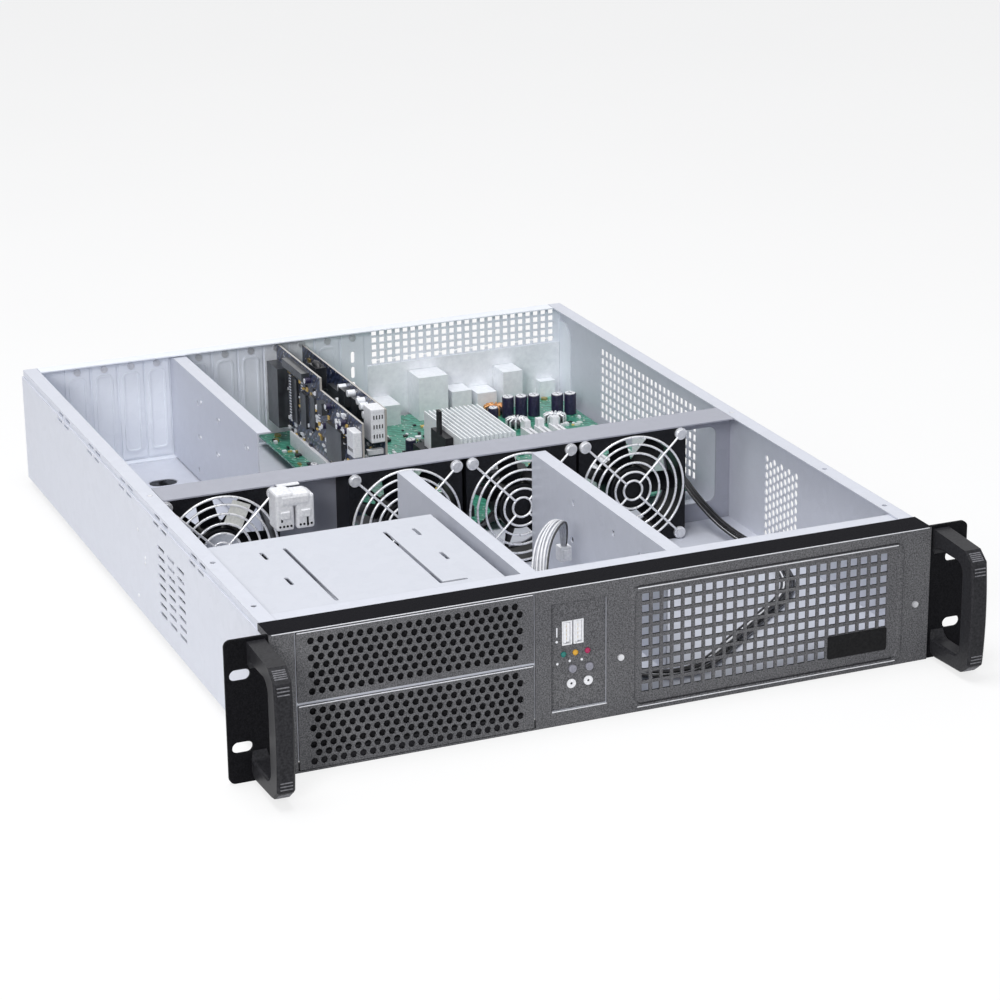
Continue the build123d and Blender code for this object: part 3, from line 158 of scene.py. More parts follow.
def galvanised_steel(name, dark, light, metallic=0.1):
    """Zinc-coated sheet: pale cool grey, faint spangle and rolling streaks."""
    material, tree, shader, place = new_finish(name, 0.42, metallic=metallic)
    spangle = tree.nodes.new("ShaderNodeTexVoronoi")
    spangle.inputs["Scale"].default_value = 160
    tree.links.new(place.outputs["Object"], spangle.inputs["Vector"])
    streaks = noise(tree, place, 30, 5, (1, 0.12, 1))
    grain = noise(tree, place, 700, 2)
    tone = mixed(tree, spangle.outputs["Color"], dark, light)
    speckled = mixed(tree, grain, tone, light)
    tree.links.new(mixed(tree, streaks, speckled, light), shader.inputs["Base Color"])
    vary_roughness(tree, shader, streaks, 0.34, 0.5)
    bump(tree, shader, grain, 0.05, 0.0002, edge=0.0004)
    return material


def powder_coat(name, dark, light, top=None, strength=0.5, specular=0.3):
    """Textured powder paint with an orange-peel grain; top is a darker colour for the folds that face up:
    painted shade.
    """
    material, tree, shader, place = new_finish(name, 0.55, specular=specular)
    fine = noise(tree, place, 1300, 3)
    cloud = noise(tree, place, 14, 2)
    paint = ramp(tree, fine, ((0.34, dark), (0.68, light)))
    shade = ramp(tree, cloud, ((0.3, (0.82, 0.82, 0.84)), (0.7, (1, 1, 1))))
    blend = tree.nodes.new("ShaderNodeMix")
    blend.data_type = "RGBA"
    blend.blend_type = "MULTIPLY"
    blend.inputs["Factor"].default_value = 1
    tree.links.new(paint, blend.inputs[6])
    tree.links.new(shade, blend.inputs[7])
    colour = blend.outputs[2]
    # Folds that face up take the top colour, painted shade that darkens them.
    if top:
        colour = mixed(tree, facing(tree, place, "Z", 0.6, 0.9), colour, top)
    tree.links.new(colour, shader.inputs["Base Color"])
    vary_roughness(tree, shader, fine, 0.5, 0.7)
    bump(tree, shader, fine, strength, 0.0003, edge=0.0005)
    return material


def moulded_plastic(name, dark, light, roughness=0.42, grain=700, strength=0.12, specular=0.5):
    """Moulded plastic with a soft grain."""
    material, tree, shader, place = new_finish(name, roughness, specular=specular)
    cloud = noise(tree, place, grain, 3)
    tree.links.new(ramp(tree, cloud, ((0.3, dark), (0.75, light))), shader.inputs["Base Color"])
    vary_roughness(tree, shader, cloud, roughness - 0.06, roughness + 0.08)
    bump(tree, shader, cloud, strength, 0.0002, edge=0.0003)
    return material


def plated_metal(name, dark, light, roughness=0.2, grain=300, metallic=0.9):
    """Bright plated wire, screws and port shells."""
    material, tree, shader, place = new_finish(name, roughness, metallic=metallic)
    cloud = noise(tree, place, grain, 3)
    tree.links.new(ramp(tree, cloud, ((0.3, dark), (0.8, light))), shader.inputs["Base Color"])
    vary_roughness(tree, shader, cloud, roughness - 0.05, roughness + 0.12)
    return material


def beyond(tree, place, axis, level):
    """One where the place along an axis is past a level in millimetres, and nothing elsewhere."""
    step = tree.nodes.new("ShaderNodeMath")
    step.operation = "GREATER_THAN"
    step.inputs[1].default_value = level * MM
    tree.links.new(component(tree, place.outputs["Object"], axis), step.inputs[0])
    return step.outputs[0]


def solder_mask(name, dark, light, track, board_left=None):
    """Circuit board lacquered over tracks and pads; a card has parts on its left and cut fibre edges."""
    material, tree, shader, place = new_finish(name, 0.3, coat=0.3)
    wave = tree.nodes.new("ShaderNodeTexWave")
    wave.bands_direction = "DIAGONAL"
    wave.inputs["Scale"].default_value = 90
    wave.inputs["Distortion"].default_value = 6
    wave.inputs["Detail Scale"].default_value = 2
    tree.links.new(place.outputs["Object"], wave.inputs["Vector"])
    cloud = noise(tree, place, 60, 4)
    base = ramp(tree, cloud, ((0.3, dark), (0.7, light)))
    lines = ramp(tree, wave.outputs["Fac"], ((0.62, (0, 0, 0)), (0.78, (1, 1, 1))))
    board = mixed(tree, lines, base, track)
    pads = tree.nodes.new("ShaderNodeTexVoronoi")
    pads.inputs["Scale"].default_value = 260
    tree.links.new(place.outputs["Object"], pads.inputs["Vector"])
    dots = ramp(tree, pads.outputs["Distance"], ((0.12, (1, 1, 1)), (0.2, (0, 0, 0))))
    populated = mixed(tree, dots, board, (0.75, 0.74, 0.66))
    if board_left is not None:
        fibre = (0.42, 0.40, 0.37)
        for axis, far in (("Y", -0.9), ("Z", 0.9)):
            populated = mixed(tree, facing(tree, place, axis, far * 0.6, far), populated, fibre)
        parts = ramp(tree, cloud, ((0.35, (0.012, 0.013, 0.016)), (0.7, (0.05, 0.055, 0.06))))
        populated = mixed(tree, beyond(tree, place, "X", board_left - 0.05), parts, populated)
    tree.links.new(populated, shader.inputs["Base Color"])
    bump(tree, shader, wave.outputs["Fac"], 0.15, 0.0001)
    return material


steel = galvanised_steel("galvanised sheet", (0.53, 0.55, 0.61), (0.64, 0.66, 0.73))
# Cage sheet: the galvanised sheet painted a little darker, painted shade on its lit top.
steel_cage_painted_shade = galvanised_steel("cage sheet painted darker", (0.50, 0.52, 0.58), (0.60, 0.62, 0.68), 0.05)
# Rear sheet: the galvanised sheet painted much lighter, painted light on the rear panel and slot covers.
steel_rear_painted_light = galvanised_steel("rear sheet painted lighter", (0.74, 0.77, 0.84), (0.86, 0.89, 0.95), 0.1)
# Fan wall sheet: the galvanised sheet painted much darker, painted shade on the fan wall.
steel_wall_painted_shade = galvanised_steel("fan wall sheet painted darker", (0.28, 0.29, 0.34), (0.37, 0.38, 0.44), 0.15)
# The near-black top of the black coat is painted shade on the folds that face up.
coat = powder_coat(
    "black powder coat", (0.07, 0.07, 0.073), (0.20, 0.20, 0.208), top=(0.002, 0.002, 0.004), specular=0.04,
)
ear_coat = powder_coat(
    "ear paint", (0.006, 0.006, 0.007), (0.014, 0.014, 0.016), strength=0.2, specular=0.03,
)
handle_black = moulded_plastic(
    "handle black", (0.012, 0.012, 0.014), (0.034, 0.034, 0.038), 0.38, specular=0.12,
)
fan_black = moulded_plastic("fan black", (0.004, 0.004, 0.006), (0.012, 0.013, 0.016), 0.38, specular=0.2)
chip_black = moulded_plastic("chip black", (0.012, 0.012, 0.014), (0.04, 0.04, 0.045), 0.4)
button_grey = moulded_plastic("button grey", (0.20, 0.20, 0.24), (0.30, 0.30, 0.35), 0.4)
white_moulding = moulded_plastic("white moulding", (0.72, 0.73, 0.76), (0.9, 0.9, 0.92), 0.4)
plate_black = moulded_plastic("label black", (0.006, 0.006, 0.007), (0.014, 0.014, 0.015), 0.3, specular=0.1)
# Also used for the dark strip of painted shade behind the lower cover.
filter_and_shade_black = moulded_plastic(
    "filter and shade black", (0.004, 0.004, 0.005), (0.03, 0.03, 0.033), 0.8, 1500, 0.8, 0.1,
)
bright_wire = plated_metal("plated wire", (0.80, 0.81, 0.84), (0.96, 0.96, 0.98), 0.25, metallic=0.45)
screw_zinc = plated_metal("screw zinc", (0.62, 0.63, 0.66), (0.88, 0.88, 0.90), 0.28, metallic=0.5)
port_tin = plated_metal("port tin", (0.80, 0.82, 0.86), (0.92, 0.94, 0.97), 0.4, metallic=0.1)
sink_bright = plated_metal(
    "extruded aluminium", (0.84, 0.87, 0.90), (0.95, 0.97, 0.98), 0.4, 500, metallic=0.12,
)
# Bright edge lines: painted highlights on the folds that stick out most.
edge_highlight_metal = plated_metal("painted edge highlight", (0.62, 0.63, 0.67), (0.90, 0.91, 0.94), 0.3, 900, metallic=0.3)
board_green = solder_mask("green board", (0.015, 0.13, 0.085), (0.04, 0.24, 0.16), (0.08, 0.36, 0.25))
card_mask = ((0.006, 0.008, 0.024), (0.014, 0.02, 0.05), (0.05, 0.07, 0.14))
card_1_mask = solder_mask("first card board", *card_mask, board_left=CARD_FACES[0])
card_2_mask = solder_mask("second card board", *card_mask, board_left=CARD_FACES[1])
brass = plated_metal("brass post", (0.5, 0.36, 0.12), (0.8, 0.62, 0.28), 0.3)
copper = plated_metal("wound copper", (0.62, 0.27, 0.10), (0.86, 0.50, 0.24), 0.32, 2400, metallic=0.6)
ferrite = moulded_plastic("ferrite core", (0.03, 0.03, 0.035), (0.08, 0.08, 0.09), 0.5)
can_sleeve = moulded_plastic("can sleeve", (0.010, 0.008, 0.03), (0.035, 0.03, 0.075), 0.3)
amber_part = moulded_plastic("amber part", (0.60, 0.40, 0.10), (0.80, 0.58, 0.20), 0.4)
pink_part = moulded_plastic("pink part", (0.55, 0.22, 0.26), (0.75, 0.42, 0.44), 0.4)
pale_part = moulded_plastic("pale green part", (0.50, 0.60, 0.56), (0.68, 0.76, 0.72), 0.4)


def status_light_finish():
    """Green, amber and red lamps, told apart by their place across the panel."""
    middle, reach = -0.0248, 0.012
    green, amber, red = (0.01, 0.16, 0.14), (0.62, 0.33, 0.03), (0.36, 0.01, 0.08)
    material, tree, shader, place = new_finish("status lights", 0.12)
    across = share(tree, component(tree, place.outputs["Object"], "X"), middle - reach, middle + reach)
    colour = ramp(tree, across, ((0.0, green), (0.33, amber), (0.66, red)))
    colour.node.color_ramp.interpolation = "CONSTANT"
    tree.links.new(colour, shader.inputs["Base Color"])
    tree.links.new(colour, shader.inputs["Emission Color"])
    shader.inputs["Emission Strength"].default_value = 0.08
    bump(tree, shader, noise(tree, place, 900, 2), 0.08, 0.0001)
    return material


status_lights = status_light_finish()

node_finish = {
    steel: (
        "chassis_tray", "front_subpanel", "partition_left", "partition_right", "rear_divider",
    ),
    steel_rear_painted_light: ("rear_panel", "slot_covers_left", "slot_covers_right", "slot_cover_vented"),
    steel_wall_painted_shade: ("fan_wall",),
    steel_cage_painted_shade: ("drive_cage",),
    coat: ("front_bezel", "bay_cover_upper", "bay_cover_lower", "control_panel"),
    ear_coat: ("rack_ear_left", "rack_ear_right"),
    handle_black: ("handle_left", "handle_right", "heatsink_frame"),
    button_grey: ("power_button", "reset_button"),
    fan_black: tuple(f"fan_{part}_{n}" for n in FANS for part in ("frame", "rotor")),
    bright_wire: tuple(f"finger_guard_{n}" for n in FANS),
    screw_zinc: ("ear_screws", "panel_screws", "fan_screws", "slot_screws"),
    white_moulding: (
        "usb_ports", "pin_collars", "power_plugs", "expansion_slots", "board_sockets", "cpu_socket",
        "lead_plugs", "panel_leads", "floor_leads",
    ),
    plate_black: ("label_plate",),
    board_green: ("control_board", "motherboard"),
    card_1_mask: ("card_1",),
    card_2_mask: ("card_2",),
    chip_black: ("board_chips",),
    port_tin: ("port_plate", "port_sockets", "card_brackets"),
    sink_bright: ("cpu_heatsink",),
    brass: ("board_standoffs",),
    status_lights: ("status_leds",),
    can_sleeve: ("capacitors_and_coils",),
}
for finish, names in node_finish.items():
    for name in names:
        mesh = nodes[name].data
        mesh.materials.clear()
        mesh.materials.append(finish)


# Shapes

def new_piece(name, made, finishes, body=BODY, replaced=()):
    """Turns a bmesh into a piece that rides on a body, with its finishes."""
    mesh = bpy.data.meshes.new(name)
    bmesh.ops.recalc_face_normals(made, faces=made.faces)
    made.to_mesh(mesh)
    made.free()
    for finish in finishes:
        mesh.materials.append(finish)
    piece = bpy.data.objects.new(name, mesh)
    bpy.context.scene.collection.objects.link(piece)
    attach(piece, body)
    if replaced:
        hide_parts(*replaced)
    return piece


def finish_faces(corners, finish):
    """Gives a finish to the faces round some corners."""
    for face in {face for corner in corners for face in corner.link_faces}:
        face.material_index = finish


def add_block(made, low, high, edge=0.0, finish=0):
    """Box between two corners in millimetres, with its edges rounded."""
    size = [(b - a) * MM for a, b in zip(low, high)]
    middle = [(a + b) / 2 * MM for a, b in zip(low, high)]
    place = Matrix.Translation(middle) @ Matrix.Diagonal((*size, 1))
    corners = bmesh.ops.create_cube(made, size=1, matrix=place)["verts"]
    finish_faces(corners, finish)
    if edge:
        edges = list({line for corner in corners for line in corner.link_edges})
        bmesh.ops.bevel(
            made, geom=edges, offset=edge * MM, segments=2, profile=0.5, affect="EDGES", material=-1,
        )


def add_rod(made, start, end, radius, sides=12, finish=0, edge=0.0):
    """Round bar between two places in millimetres, with the rims of its ends rounded."""
    start, end = Vector(start) * MM, Vector(end) * MM
    along = end - start
    place = Matrix.Translation((start + end) / 2) @ along.to_track_quat("Z", "Y").to_matrix().to_4x4()
    corners = bmesh.ops.create_cone(
        made, cap_ends=True, segments=sides, radius1=radius * MM, radius2=radius * MM, depth=along.length,
        matrix=place,
    )["verts"]
    finish_faces(corners, finish)
    if edge:
        rims = [line for line in {line for corner in corners for line in corner.link_edges}
                if any(len(face.verts) > 4 for face in line.link_faces)]
        bmesh.ops.bevel(
            made, geom=rims, offset=edge * MM, segments=2, profile=0.5, affect="EDGES", material=-1,
        )


def add_ring(made, centre, ring_radius, wire_radius, axis, steps, sides, finish):
    """Closed ring of round wire about an axis, in millimetres."""
    middle = Vector(centre) * MM
    turn_axis, across = {
        "X": (Vector((1, 0, 0)), Vector((0, 1, 0))),
        "Z": (Vector((0, 0, 1)), Vector((1, 0, 0))),
    }[axis]
    tilt = across.cross(turn_axis).to_track_quat("Z", "Y").to_matrix().to_4x4()
    start = Matrix.Translation(middle + across * ring_radius * MM) @ tilt
    corners = bmesh.ops.create_circle(made, segments=sides, radius=wire_radius * MM, matrix=start)["verts"]
    edges = list({line for corner in corners for line in corner.link_edges})
    before = set(made.faces)
    bmesh.ops.spin(
        made, geom=edges + corners, cent=middle, axis=turn_axis, angle=math.tau, steps=steps, use_merge=True,
    )
    for face in set(made.faces) - before:
        face.material_index = finish
        face.smooth = True


# Leads

sleeves = (
    moulded_plastic("lead grey", (0.42, 0.43, 0.46), (0.6, 0.61, 0.65), 0.45, 300, 0.05),
    moulded_plastic("lead white", (0.75, 0.76, 0.79), (0.9, 0.9, 0.92), 0.45, 300, 0.05),
    moulded_plastic("lead black", (0.01, 0.01, 0.012), (0.03, 0.03, 0.034), 0.45, 300, 0.05),
)
GREY, WHITE, BLACK = 0, 1, 2


def route_points(name, places):
    """Points along the smooth line that a route's control points give, in metres."""
    curve = bpy.data.curves.new(name, "CURVE")
    curve.dimensions = "3D"
    curve.resolution_u = 8
    spline = curve.splines.new("NURBS")
    spline.points.add(len(places) - 1)
    for point, place in zip(spline.points, places):
        point.co = (*(value * MM for value in place), 1)
    spline.order_u = 3
    spline.use_endpoint_u = True
    holder = bpy.data.objects.new(name, curve)
    bpy.context.scene.collection.objects.link(holder)
    bpy.context.view_layer.update()
    mesh = bpy.data.meshes.new_from_object(holder)
    points = [vertex.co.copy() for vertex in mesh.vertices]
    bpy.data.meshes.remove(mesh)
    bpy.data.objects.remove(holder)
    bpy.data.curves.remove(curve)
    return points


def lead_bundle(name, places, strands, strand_radius, fan, lowest):
    """Thin leads laid along a route; each strand has a sleeve, an offset across, one up and a wander."""
    sway_reach, sway_turn = 0.35, 9
    line = route_points(name + "_line", places)
    curve = bpy.data.curves.new(name + "_strands", "CURVE")
    curve.dimensions = "3D"
    curve.bevel_depth = strand_radius * MM
    curve.bevel_resolution = 1
    curve.use_fill_caps = True
    for sleeve in sleeves:
        curve.materials.append(sleeve)
    for sleeve_number, across_offset, up_offset, wander in strands:
        spline = curve.splines.new("POLY")
        spline.points.add(len(line) - 1)
        for at, point in enumerate(line):
            part = at / (len(line) - 1)
            ahead = line[min(at + 1, len(line) - 1)] - line[max(at - 1, 0)]
            across = ahead.cross(Vector((0, 0, 1))).normalized()
            above = across.cross(ahead).normalized()
            spread = math.sin(math.pi * part) ** 0.5 * fan + 1 - fan
            sway = sway_reach * math.sin(wander + sway_turn * part)
            place = point + (across * (across_offset * spread + sway) + above * up_offset * spread) * MM
            place.z = max(place.z, lowest * MM)
            spline.points[at].co = (*place, 1)
        spline.material_index = sleeve_number
        spline.use_smooth = True
    holder = bpy.data.objects.new(name + "_holder", curve)
    bpy.context.scene.collection.objects.link(holder)
    bpy.context.view_layer.update()
    mesh = bpy.data.meshes.new_from_object(holder)
    bpy.data.objects.remove(holder)
    bpy.data.curves.remove(curve)
    mesh.name = name
    piece = bpy.data.objects.new(name, mesh)
    bpy.context.scene.collection.objects.link(piece)
    length = sum((b - a).length for a, b in zip(line, line[1:]))
    return piece, line, length


def make_lead_plugs():
    """White plug of the hank and the board's power plug, each a body with ribs, cells and a latch."""
    made = bmesh.new()
    add_block(made, (33.0, 150, -4), (41.0, 158, 6), 0.5)
    add_block(made, (35, 149, -2), (39, 150.4, 4), 0.3)
    for rib in range(4):
        x = 33.4 + rib * 1.9
        add_block(made, (x, 157.6, -3), (x + 1, 158.2, 5), 0.15)
    hank_plug = new_piece("hank_plug", made, [white_moulding], replaced=["lead_plugs"])
    made = bmesh.new()
    add_block(made, (190, 322, -15), (201, 374, -3), 0.5)
    add_block(made, (189.2, 342, -12), (190.6, 354, -2.4), 0.3)
    for cell in range(12):
        y = 324 + cell * 4.1
        for x in (191, 196):
            add_block(made, (x, y, -3.3), (x + 4, y + 3.1, -2.4), 0.2)
    board_plug = new_piece("board_plug", made, [white_moulding], replaced=["lead_plugs"])
    return hank_plug, board_plug


def place_leads():
    """The hank behind the control panel and the bundle along the floor, each with its plug."""
    hank_plug, board_plug = make_lead_plugs()
    floor_z, lowest = -33.4, -36.2
    hank = (
        (-10, 13.7, -23.5), (-10.5, 36, -24), (-11, 57, -20), (-11, 75, -8), (-7, 93, 9), (3, 111, 27),
        (22, 134, 31.5), (35, 149, 24), (37, 154, 4),
    )
    floor_run = (
        (-25, 13.3, -23.5), (-25.5, 34, -27), (-23, 50, -31.5), (-12, 63, floor_z), (5, 63, floor_z),
        (19, 51, floor_z), (29, 36, floor_z), (43, 23, floor_z), (62, 20.5, floor_z), (82, 30, floor_z),
        (106, 51, floor_z), (144, 82, floor_z), (180, 112, floor_z), (197, 148, floor_z), (198, 188, -32.9),
        (190, 224, -28.5), (187, 258, -19.5), (189.5, 292, -12), (195.5, 323, -9),
    )
    hank_strands = (
        (WHITE, -4.6, 0.4, 0), (GREY, -3.5, -0.9, 1), (WHITE, -2.4, 0.9, 2), (GREY, -1.2, -0.7, 3),
        (WHITE, 0.0, 0.8, 4), (GREY, 1.2, -0.8, 5), (WHITE, 2.4, 0.6, 6), (GREY, 3.5, -0.4, 8),
        (BLACK, 4.6, -0.2, 7),
    )
    floor_strands = (
        (BLACK, -4.6, -1.4, 0), (WHITE, -3.2, -1.6, 2), (BLACK, -1.9, -1.9, 4), (BLACK, -0.5, -1.5, 1),
        (WHITE, 1.0, -1.8, 3), (BLACK, 2.7, -1.6, 5), (BLACK, 4.6, -1.4, 6), (BLACK, 0.4, 0.8, 2.5),
        (BLACK, 2.4, 0.6, 0.5),
    )
    runs = (
        ("panel_lead_hank", hank, "panel_leads", hank_plug, hank_strands, 0.7, 0.8),
        ("floor_lead_bundle", floor_run, "floor_leads", board_plug, floor_strands, 0.75, 0.75),
    )
    for name, places, node, plug, strands, strand_radius, fan in runs:
        piece, line, length = lead_bundle(name, places, strands, strand_radius, fan, lowest)
        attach(piece, BODY)
        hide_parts(node)


# Front

def make_filters_and_shade_strip():
    """Dark dust filters behind the two perforated covers, and a dark strip behind the lowest holes of the
    lower cover: painted shade.
    """
    made = bmesh.new()
    for low, high in ((-36.0, -3.6), (0.6, 40.9)):
        add_block(made, (-197.6, -0.95, low), (-53.9, -0.35, high), 0.15)
    # Dark strip behind the lowest holes of the lower cover: painted shade.
    add_block(made, (-198.6, -2.3, -42.1), (-53.0, -1.9, -33.0), 0.1)
    new_piece("bay_filters_and_shade_strip", made, [filter_and_shade_black])


def make_edge_highlights():
    """Bright lines along the folds that stick out most: painted highlights."""
    made = bmesh.new()
    for x_low, x_high, y, z in (
        (-213.5, 213.5, -2.95, 43.55), (-198.6, -53.0, -3.0, 42.1), (-198.6, -53.0, -3.0, -2.95),
        (14.5, 191.5, -4.0, 35.7), (14.5, 191.5, -4.0, -40.6), (-41.0, -5.4, -2.95, -34.75),
    ):
        add_rod(made, (x_low, y, z), (x_high, y, z), 0.4, 8)
    new_piece("painted_edge_highlights", made, [edge_highlight_metal])


def make_handle_ribs():
    """Fine grip ribs on the shoulders of both handles, lighter grey than the handles: painted highlight."""
    made = bmesh.new()
    for side in (-1, 1):
        for end in (-1, 1):
            for rib in range(5):
                along = 0.28 + 0.12 * rib
                y, z = -48 + 9 * along, 33 + 7 * along
                add_rod(made, (side * 218.6, y, end * z), (side * 226.4, y, end * z), 0.45, 8, edge=0.15)
            for level in (26.5, 28.6, 30.7):
                y = -50 + 2 * (level / 33) ** 2
                add_rod(
                    made, (side * 218.8, y, end * level), (side * 226.2, y, end * level), 0.4, 8, edge=0.12,
                )
    new_piece("handle_ribs", made, [rib_highlight_grey])


def make_panel_marks():
    """Plain printed marks on the control panel, white inserts in its ports and the ends of their contacts."""
    made = bmesh.new()
    add_block(made, (-37.2, -1.15, 12), (-36.4, -0.9, 18), 0.05)
    for x, z in ((-36.9, 9.0), (-36.5, -5.1), (-28.5, -4.3), (-20.7, -4.6)):
        add_rod(made, (x, -0.9, z), (x, -1.15, z), 0.8, 12)
    new_piece("panel_marks", made, [mark_grey])
    made = bmesh.new()
    for x in (-30.3, -22.9):
        add_block(made, (x - 2.2, -1.35, 7.3), (x - 0.5, 4.4, 20.5), 0.2)
        add_block(made, (x - 0.35, -0.6, 7.6), (x + 2.2, 4.4, 20.2), 0.3)
        for contact in range(4):
            z = 9.6 + contact * 2.6
            add_block(made, (x - 0.55, -1.2, z), (x - 0.25, 3.5, z + 1.2), 0.05, 1)
    new_piece("port_inserts", made, [white_moulding, brass])


def make_floor_plug():
    """Dark rubber plug in the lead hole of the rear left bay's floor."""
    made = bmesh.new()
    add_rod(made, (-132.5, 499.8, -38.7), (-132.5, 499.8, -37.4), 6.6, 32, edge=0.3)
    add_rod(made, (-125.5, 499.8, -38.7), (-125.5, 499.8, -37.4), 6.6, 32, edge=0.3)
    add_block(made, (-132.5, 493.2, -38.7), (-125.5, 506.4, -37.4), 0.3)
    new_piece("floor_plug", made, [fan_black])


# Fans and cards

def make_fan_label():
    """Plain pale sticker on the hub of the left fan's rotor."""
    made = bmesh.new()
    add_rod(made, (-166, 241.6, 3), (-166, 241.15, 3), 12.5, 40, edge=0.1)
    new_piece("hub_sticker", made, [sticker], body="rotor_1")


def make_paper_tag():
    """Plain paper tag tucked behind the left fan's finger guard."""
    made = bmesh.new()
    add_block(made, (-161.0, 240.3, 19.0), (-148.0, 240.6, 36.0), 0.1)
    leaning = Matrix.Rotation(math.radians(24), 3, "Y")
    bmesh.ops.rotate(made, verts=made.verts, cent=Vector((-154.5, 240.5, 27.5)) * MM, matrix=leaning)
    new_piece("paper_tag", made, [tag_paper])


def add_chip(made, side_x, y, z, length, height, depth, finish):
    """Small part soldered to a card's left face, lying against side_x."""
    low = (side_x - depth, y - length / 2, z - height / 2)
    high = (side_x + 0.02, y + length / 2, z + height / 2)
    add_block(made, low, high, 0.15, finish)


def scatter_chips(made, side_x, count, y_range, z_range, finishes):
    """Small parts at random places on a card's left face."""
    for _ in range(count):
        y, z = random.uniform(*y_range), random.uniform(*z_range)
        finish = random.choice(finishes)
        length, height, depth = random.uniform(1.6, 5.0), random.uniform(1.2, 3.2), random.uniform(0.8, 1.8)
        add_chip(made, side_x, y, z, length, height, depth, finish)


def make_card_parts():
    """Pin rows, chips, cans and plugs on the two cards and the white moulding by their foot."""
    random.seed(7)
    palette = [chip_black, port_tin, white_moulding, amber_part, can_sleeve, brass, pale_part]
    chip, tin, white, amber, can, post, pale = range(len(palette))
    made = bmesh.new()
    left = CARD_FACES[0]
    pin_pitch = 2.2
    for y, low, high in ((521.0, -8, 30), (494.0, -6, 30), (457.0, 2, 24)):
        for pin in range(int((high - low) / pin_pitch)):
            add_chip(made, left, y, low + pin * pin_pitch, 3.2, 0.9, 0.8, tin)
    scatter_chips(made, left, 130, (392, 548), (-20, 30), (chip, chip, tin, tin, white, white, amber, post))
    for y, z in ((394, 20), (401, 24), (409, 19), (432, 27), (440, 10), (476, 34)):
        add_rod(made, (left, y, z), (left - 4.5, y, z), 2.3, 14, can, edge=0.25)
        add_rod(made, (left - 4.5, y, z), (left - 4.7, y, z), 1.9, 14, tin)
    add_block(made, (-27.7, 368.6, 7.6), (-21.3, 382.4, 26.4), 0.6, white)
    for cell in range(4):
        add_block(made, (-27.9, 371 + cell * 2.6, 11.5), (-27.5, 372.2 + cell * 2.6, 14), 0.1, chip)
    new_piece("card_1_parts", made, palette)
    made = bmesh.new()
    left = CARD_FACES[1]
    scatter_chips(made, left, 110, (396, 540), (-18, 33), (chip, tin, tin, white, white, amber, post, pale))
    for y, z in ((400, 30), (405.5, 26), (411, 31), (417, 33), (437, 33), (456, 32), (462, 20)):
        add_rod(made, (left, y, z), (left - 6.0, y, z), 2.6, 14, tin, edge=0.3)
    add_block(made, (-11.4, 376.1, 14.1), (-1.0, 391.9, 38.9), 0.7, white)
    for cell in range(4):
        for row in range(3):
            low = (-9.8 + cell * 2.1, 375.95, 17.5 + row * 7)
            add_block(made, low, (low[0] + 0.9, 376.3, low[2] + 3), 0.1, chip)
    add_ring(made, (left - 4.5, 507, 30), 6.5, 2.2, "X", 20, 8, chip)
    add_block(made, (-13.0, 380.0, 4.0), (-1.0, 384.0, 8.0), 0.4, white)
    new_piece("card_2_parts", made, palette)


# Board

def make_capacitors():
    """Sleeved cans with their pale scored tops and wound coils, on the places the solids give."""
    palette = [can_sleeve, white_moulding, copper, bright_wire, ferrite]
    sleeve, pale_top, copper_wire, tinned_wire, core = range(len(palette))
    made = bmesh.new()
    level = BOARD_TOP
    for x, y, radius, height in (
        (150.3, 512, 4.6, 17), (160.3, 509.5, 4.6, 17), (170.3, 508, 4.6, 17), (187.5, 502.5, 4.6, 17),
        (197.5, 500.5, 4.6, 17), (110, 500, 4, 14), (122, 503, 4, 14), (133, 500, 4, 14), (104, 452, 4, 12),
        (50, 460, 4, 12), (20, 383, 3.2, 10), (-32, 442, 3.2, 10), (-32, 352, 3.2, 10),
    ):
        top = level + height
        add_rod(made, (x, y, level), (x, y, top - 0.6), radius, 28, sleeve, edge=0.45)
        add_rod(made, (x, y, top - 0.8), (x, y, top), radius - 0.7, 28, pale_top, edge=0.2)
        for low, high in (((x - radius + 1.4, y - 0.2), (x + radius - 1.4, y + 0.2)),
                          ((x - 0.2, y - radius + 1.4), (x + 0.2, y + radius - 1.4))):
            add_block(made, (*low, top - 0.1), (*high, top + 0.08), finish=sleeve)
    ring_radius, turns, wire_away = 5.2, 12, 3.1
    for x, y, wire in ((147.5, 488, tinned_wire), (178, 486, tinned_wire), (145, 525, copper_wire)):
        centre = Vector((x, y, level + 3.5))
        add_ring(made, centre, ring_radius, 2.5, "Z", 24, 10, core)
        for turn in range(turns):
            angle = math.tau * turn / turns
            outward = Vector((math.cos(angle), math.sin(angle), 0))
            middle = centre + outward * ring_radius
            inner, outer = middle - outward * wire_away, middle + outward * wire_away
            bends = (
                inner + Vector((0, 0, -2.4)), inner + Vector((0, 0, 2.4)), middle + Vector((0, 0, 3.3)),
                outer + Vector((0, 0, 2.4)), outer + Vector((0, 0, -3.2)),
            )
            for start, end in zip(bends, bends[1:]):
                add_rod(made, start, end, 0.75, 6, wire)
    new_piece("cans_and_coils", made, palette, replaced=["capacitors_and_coils"])


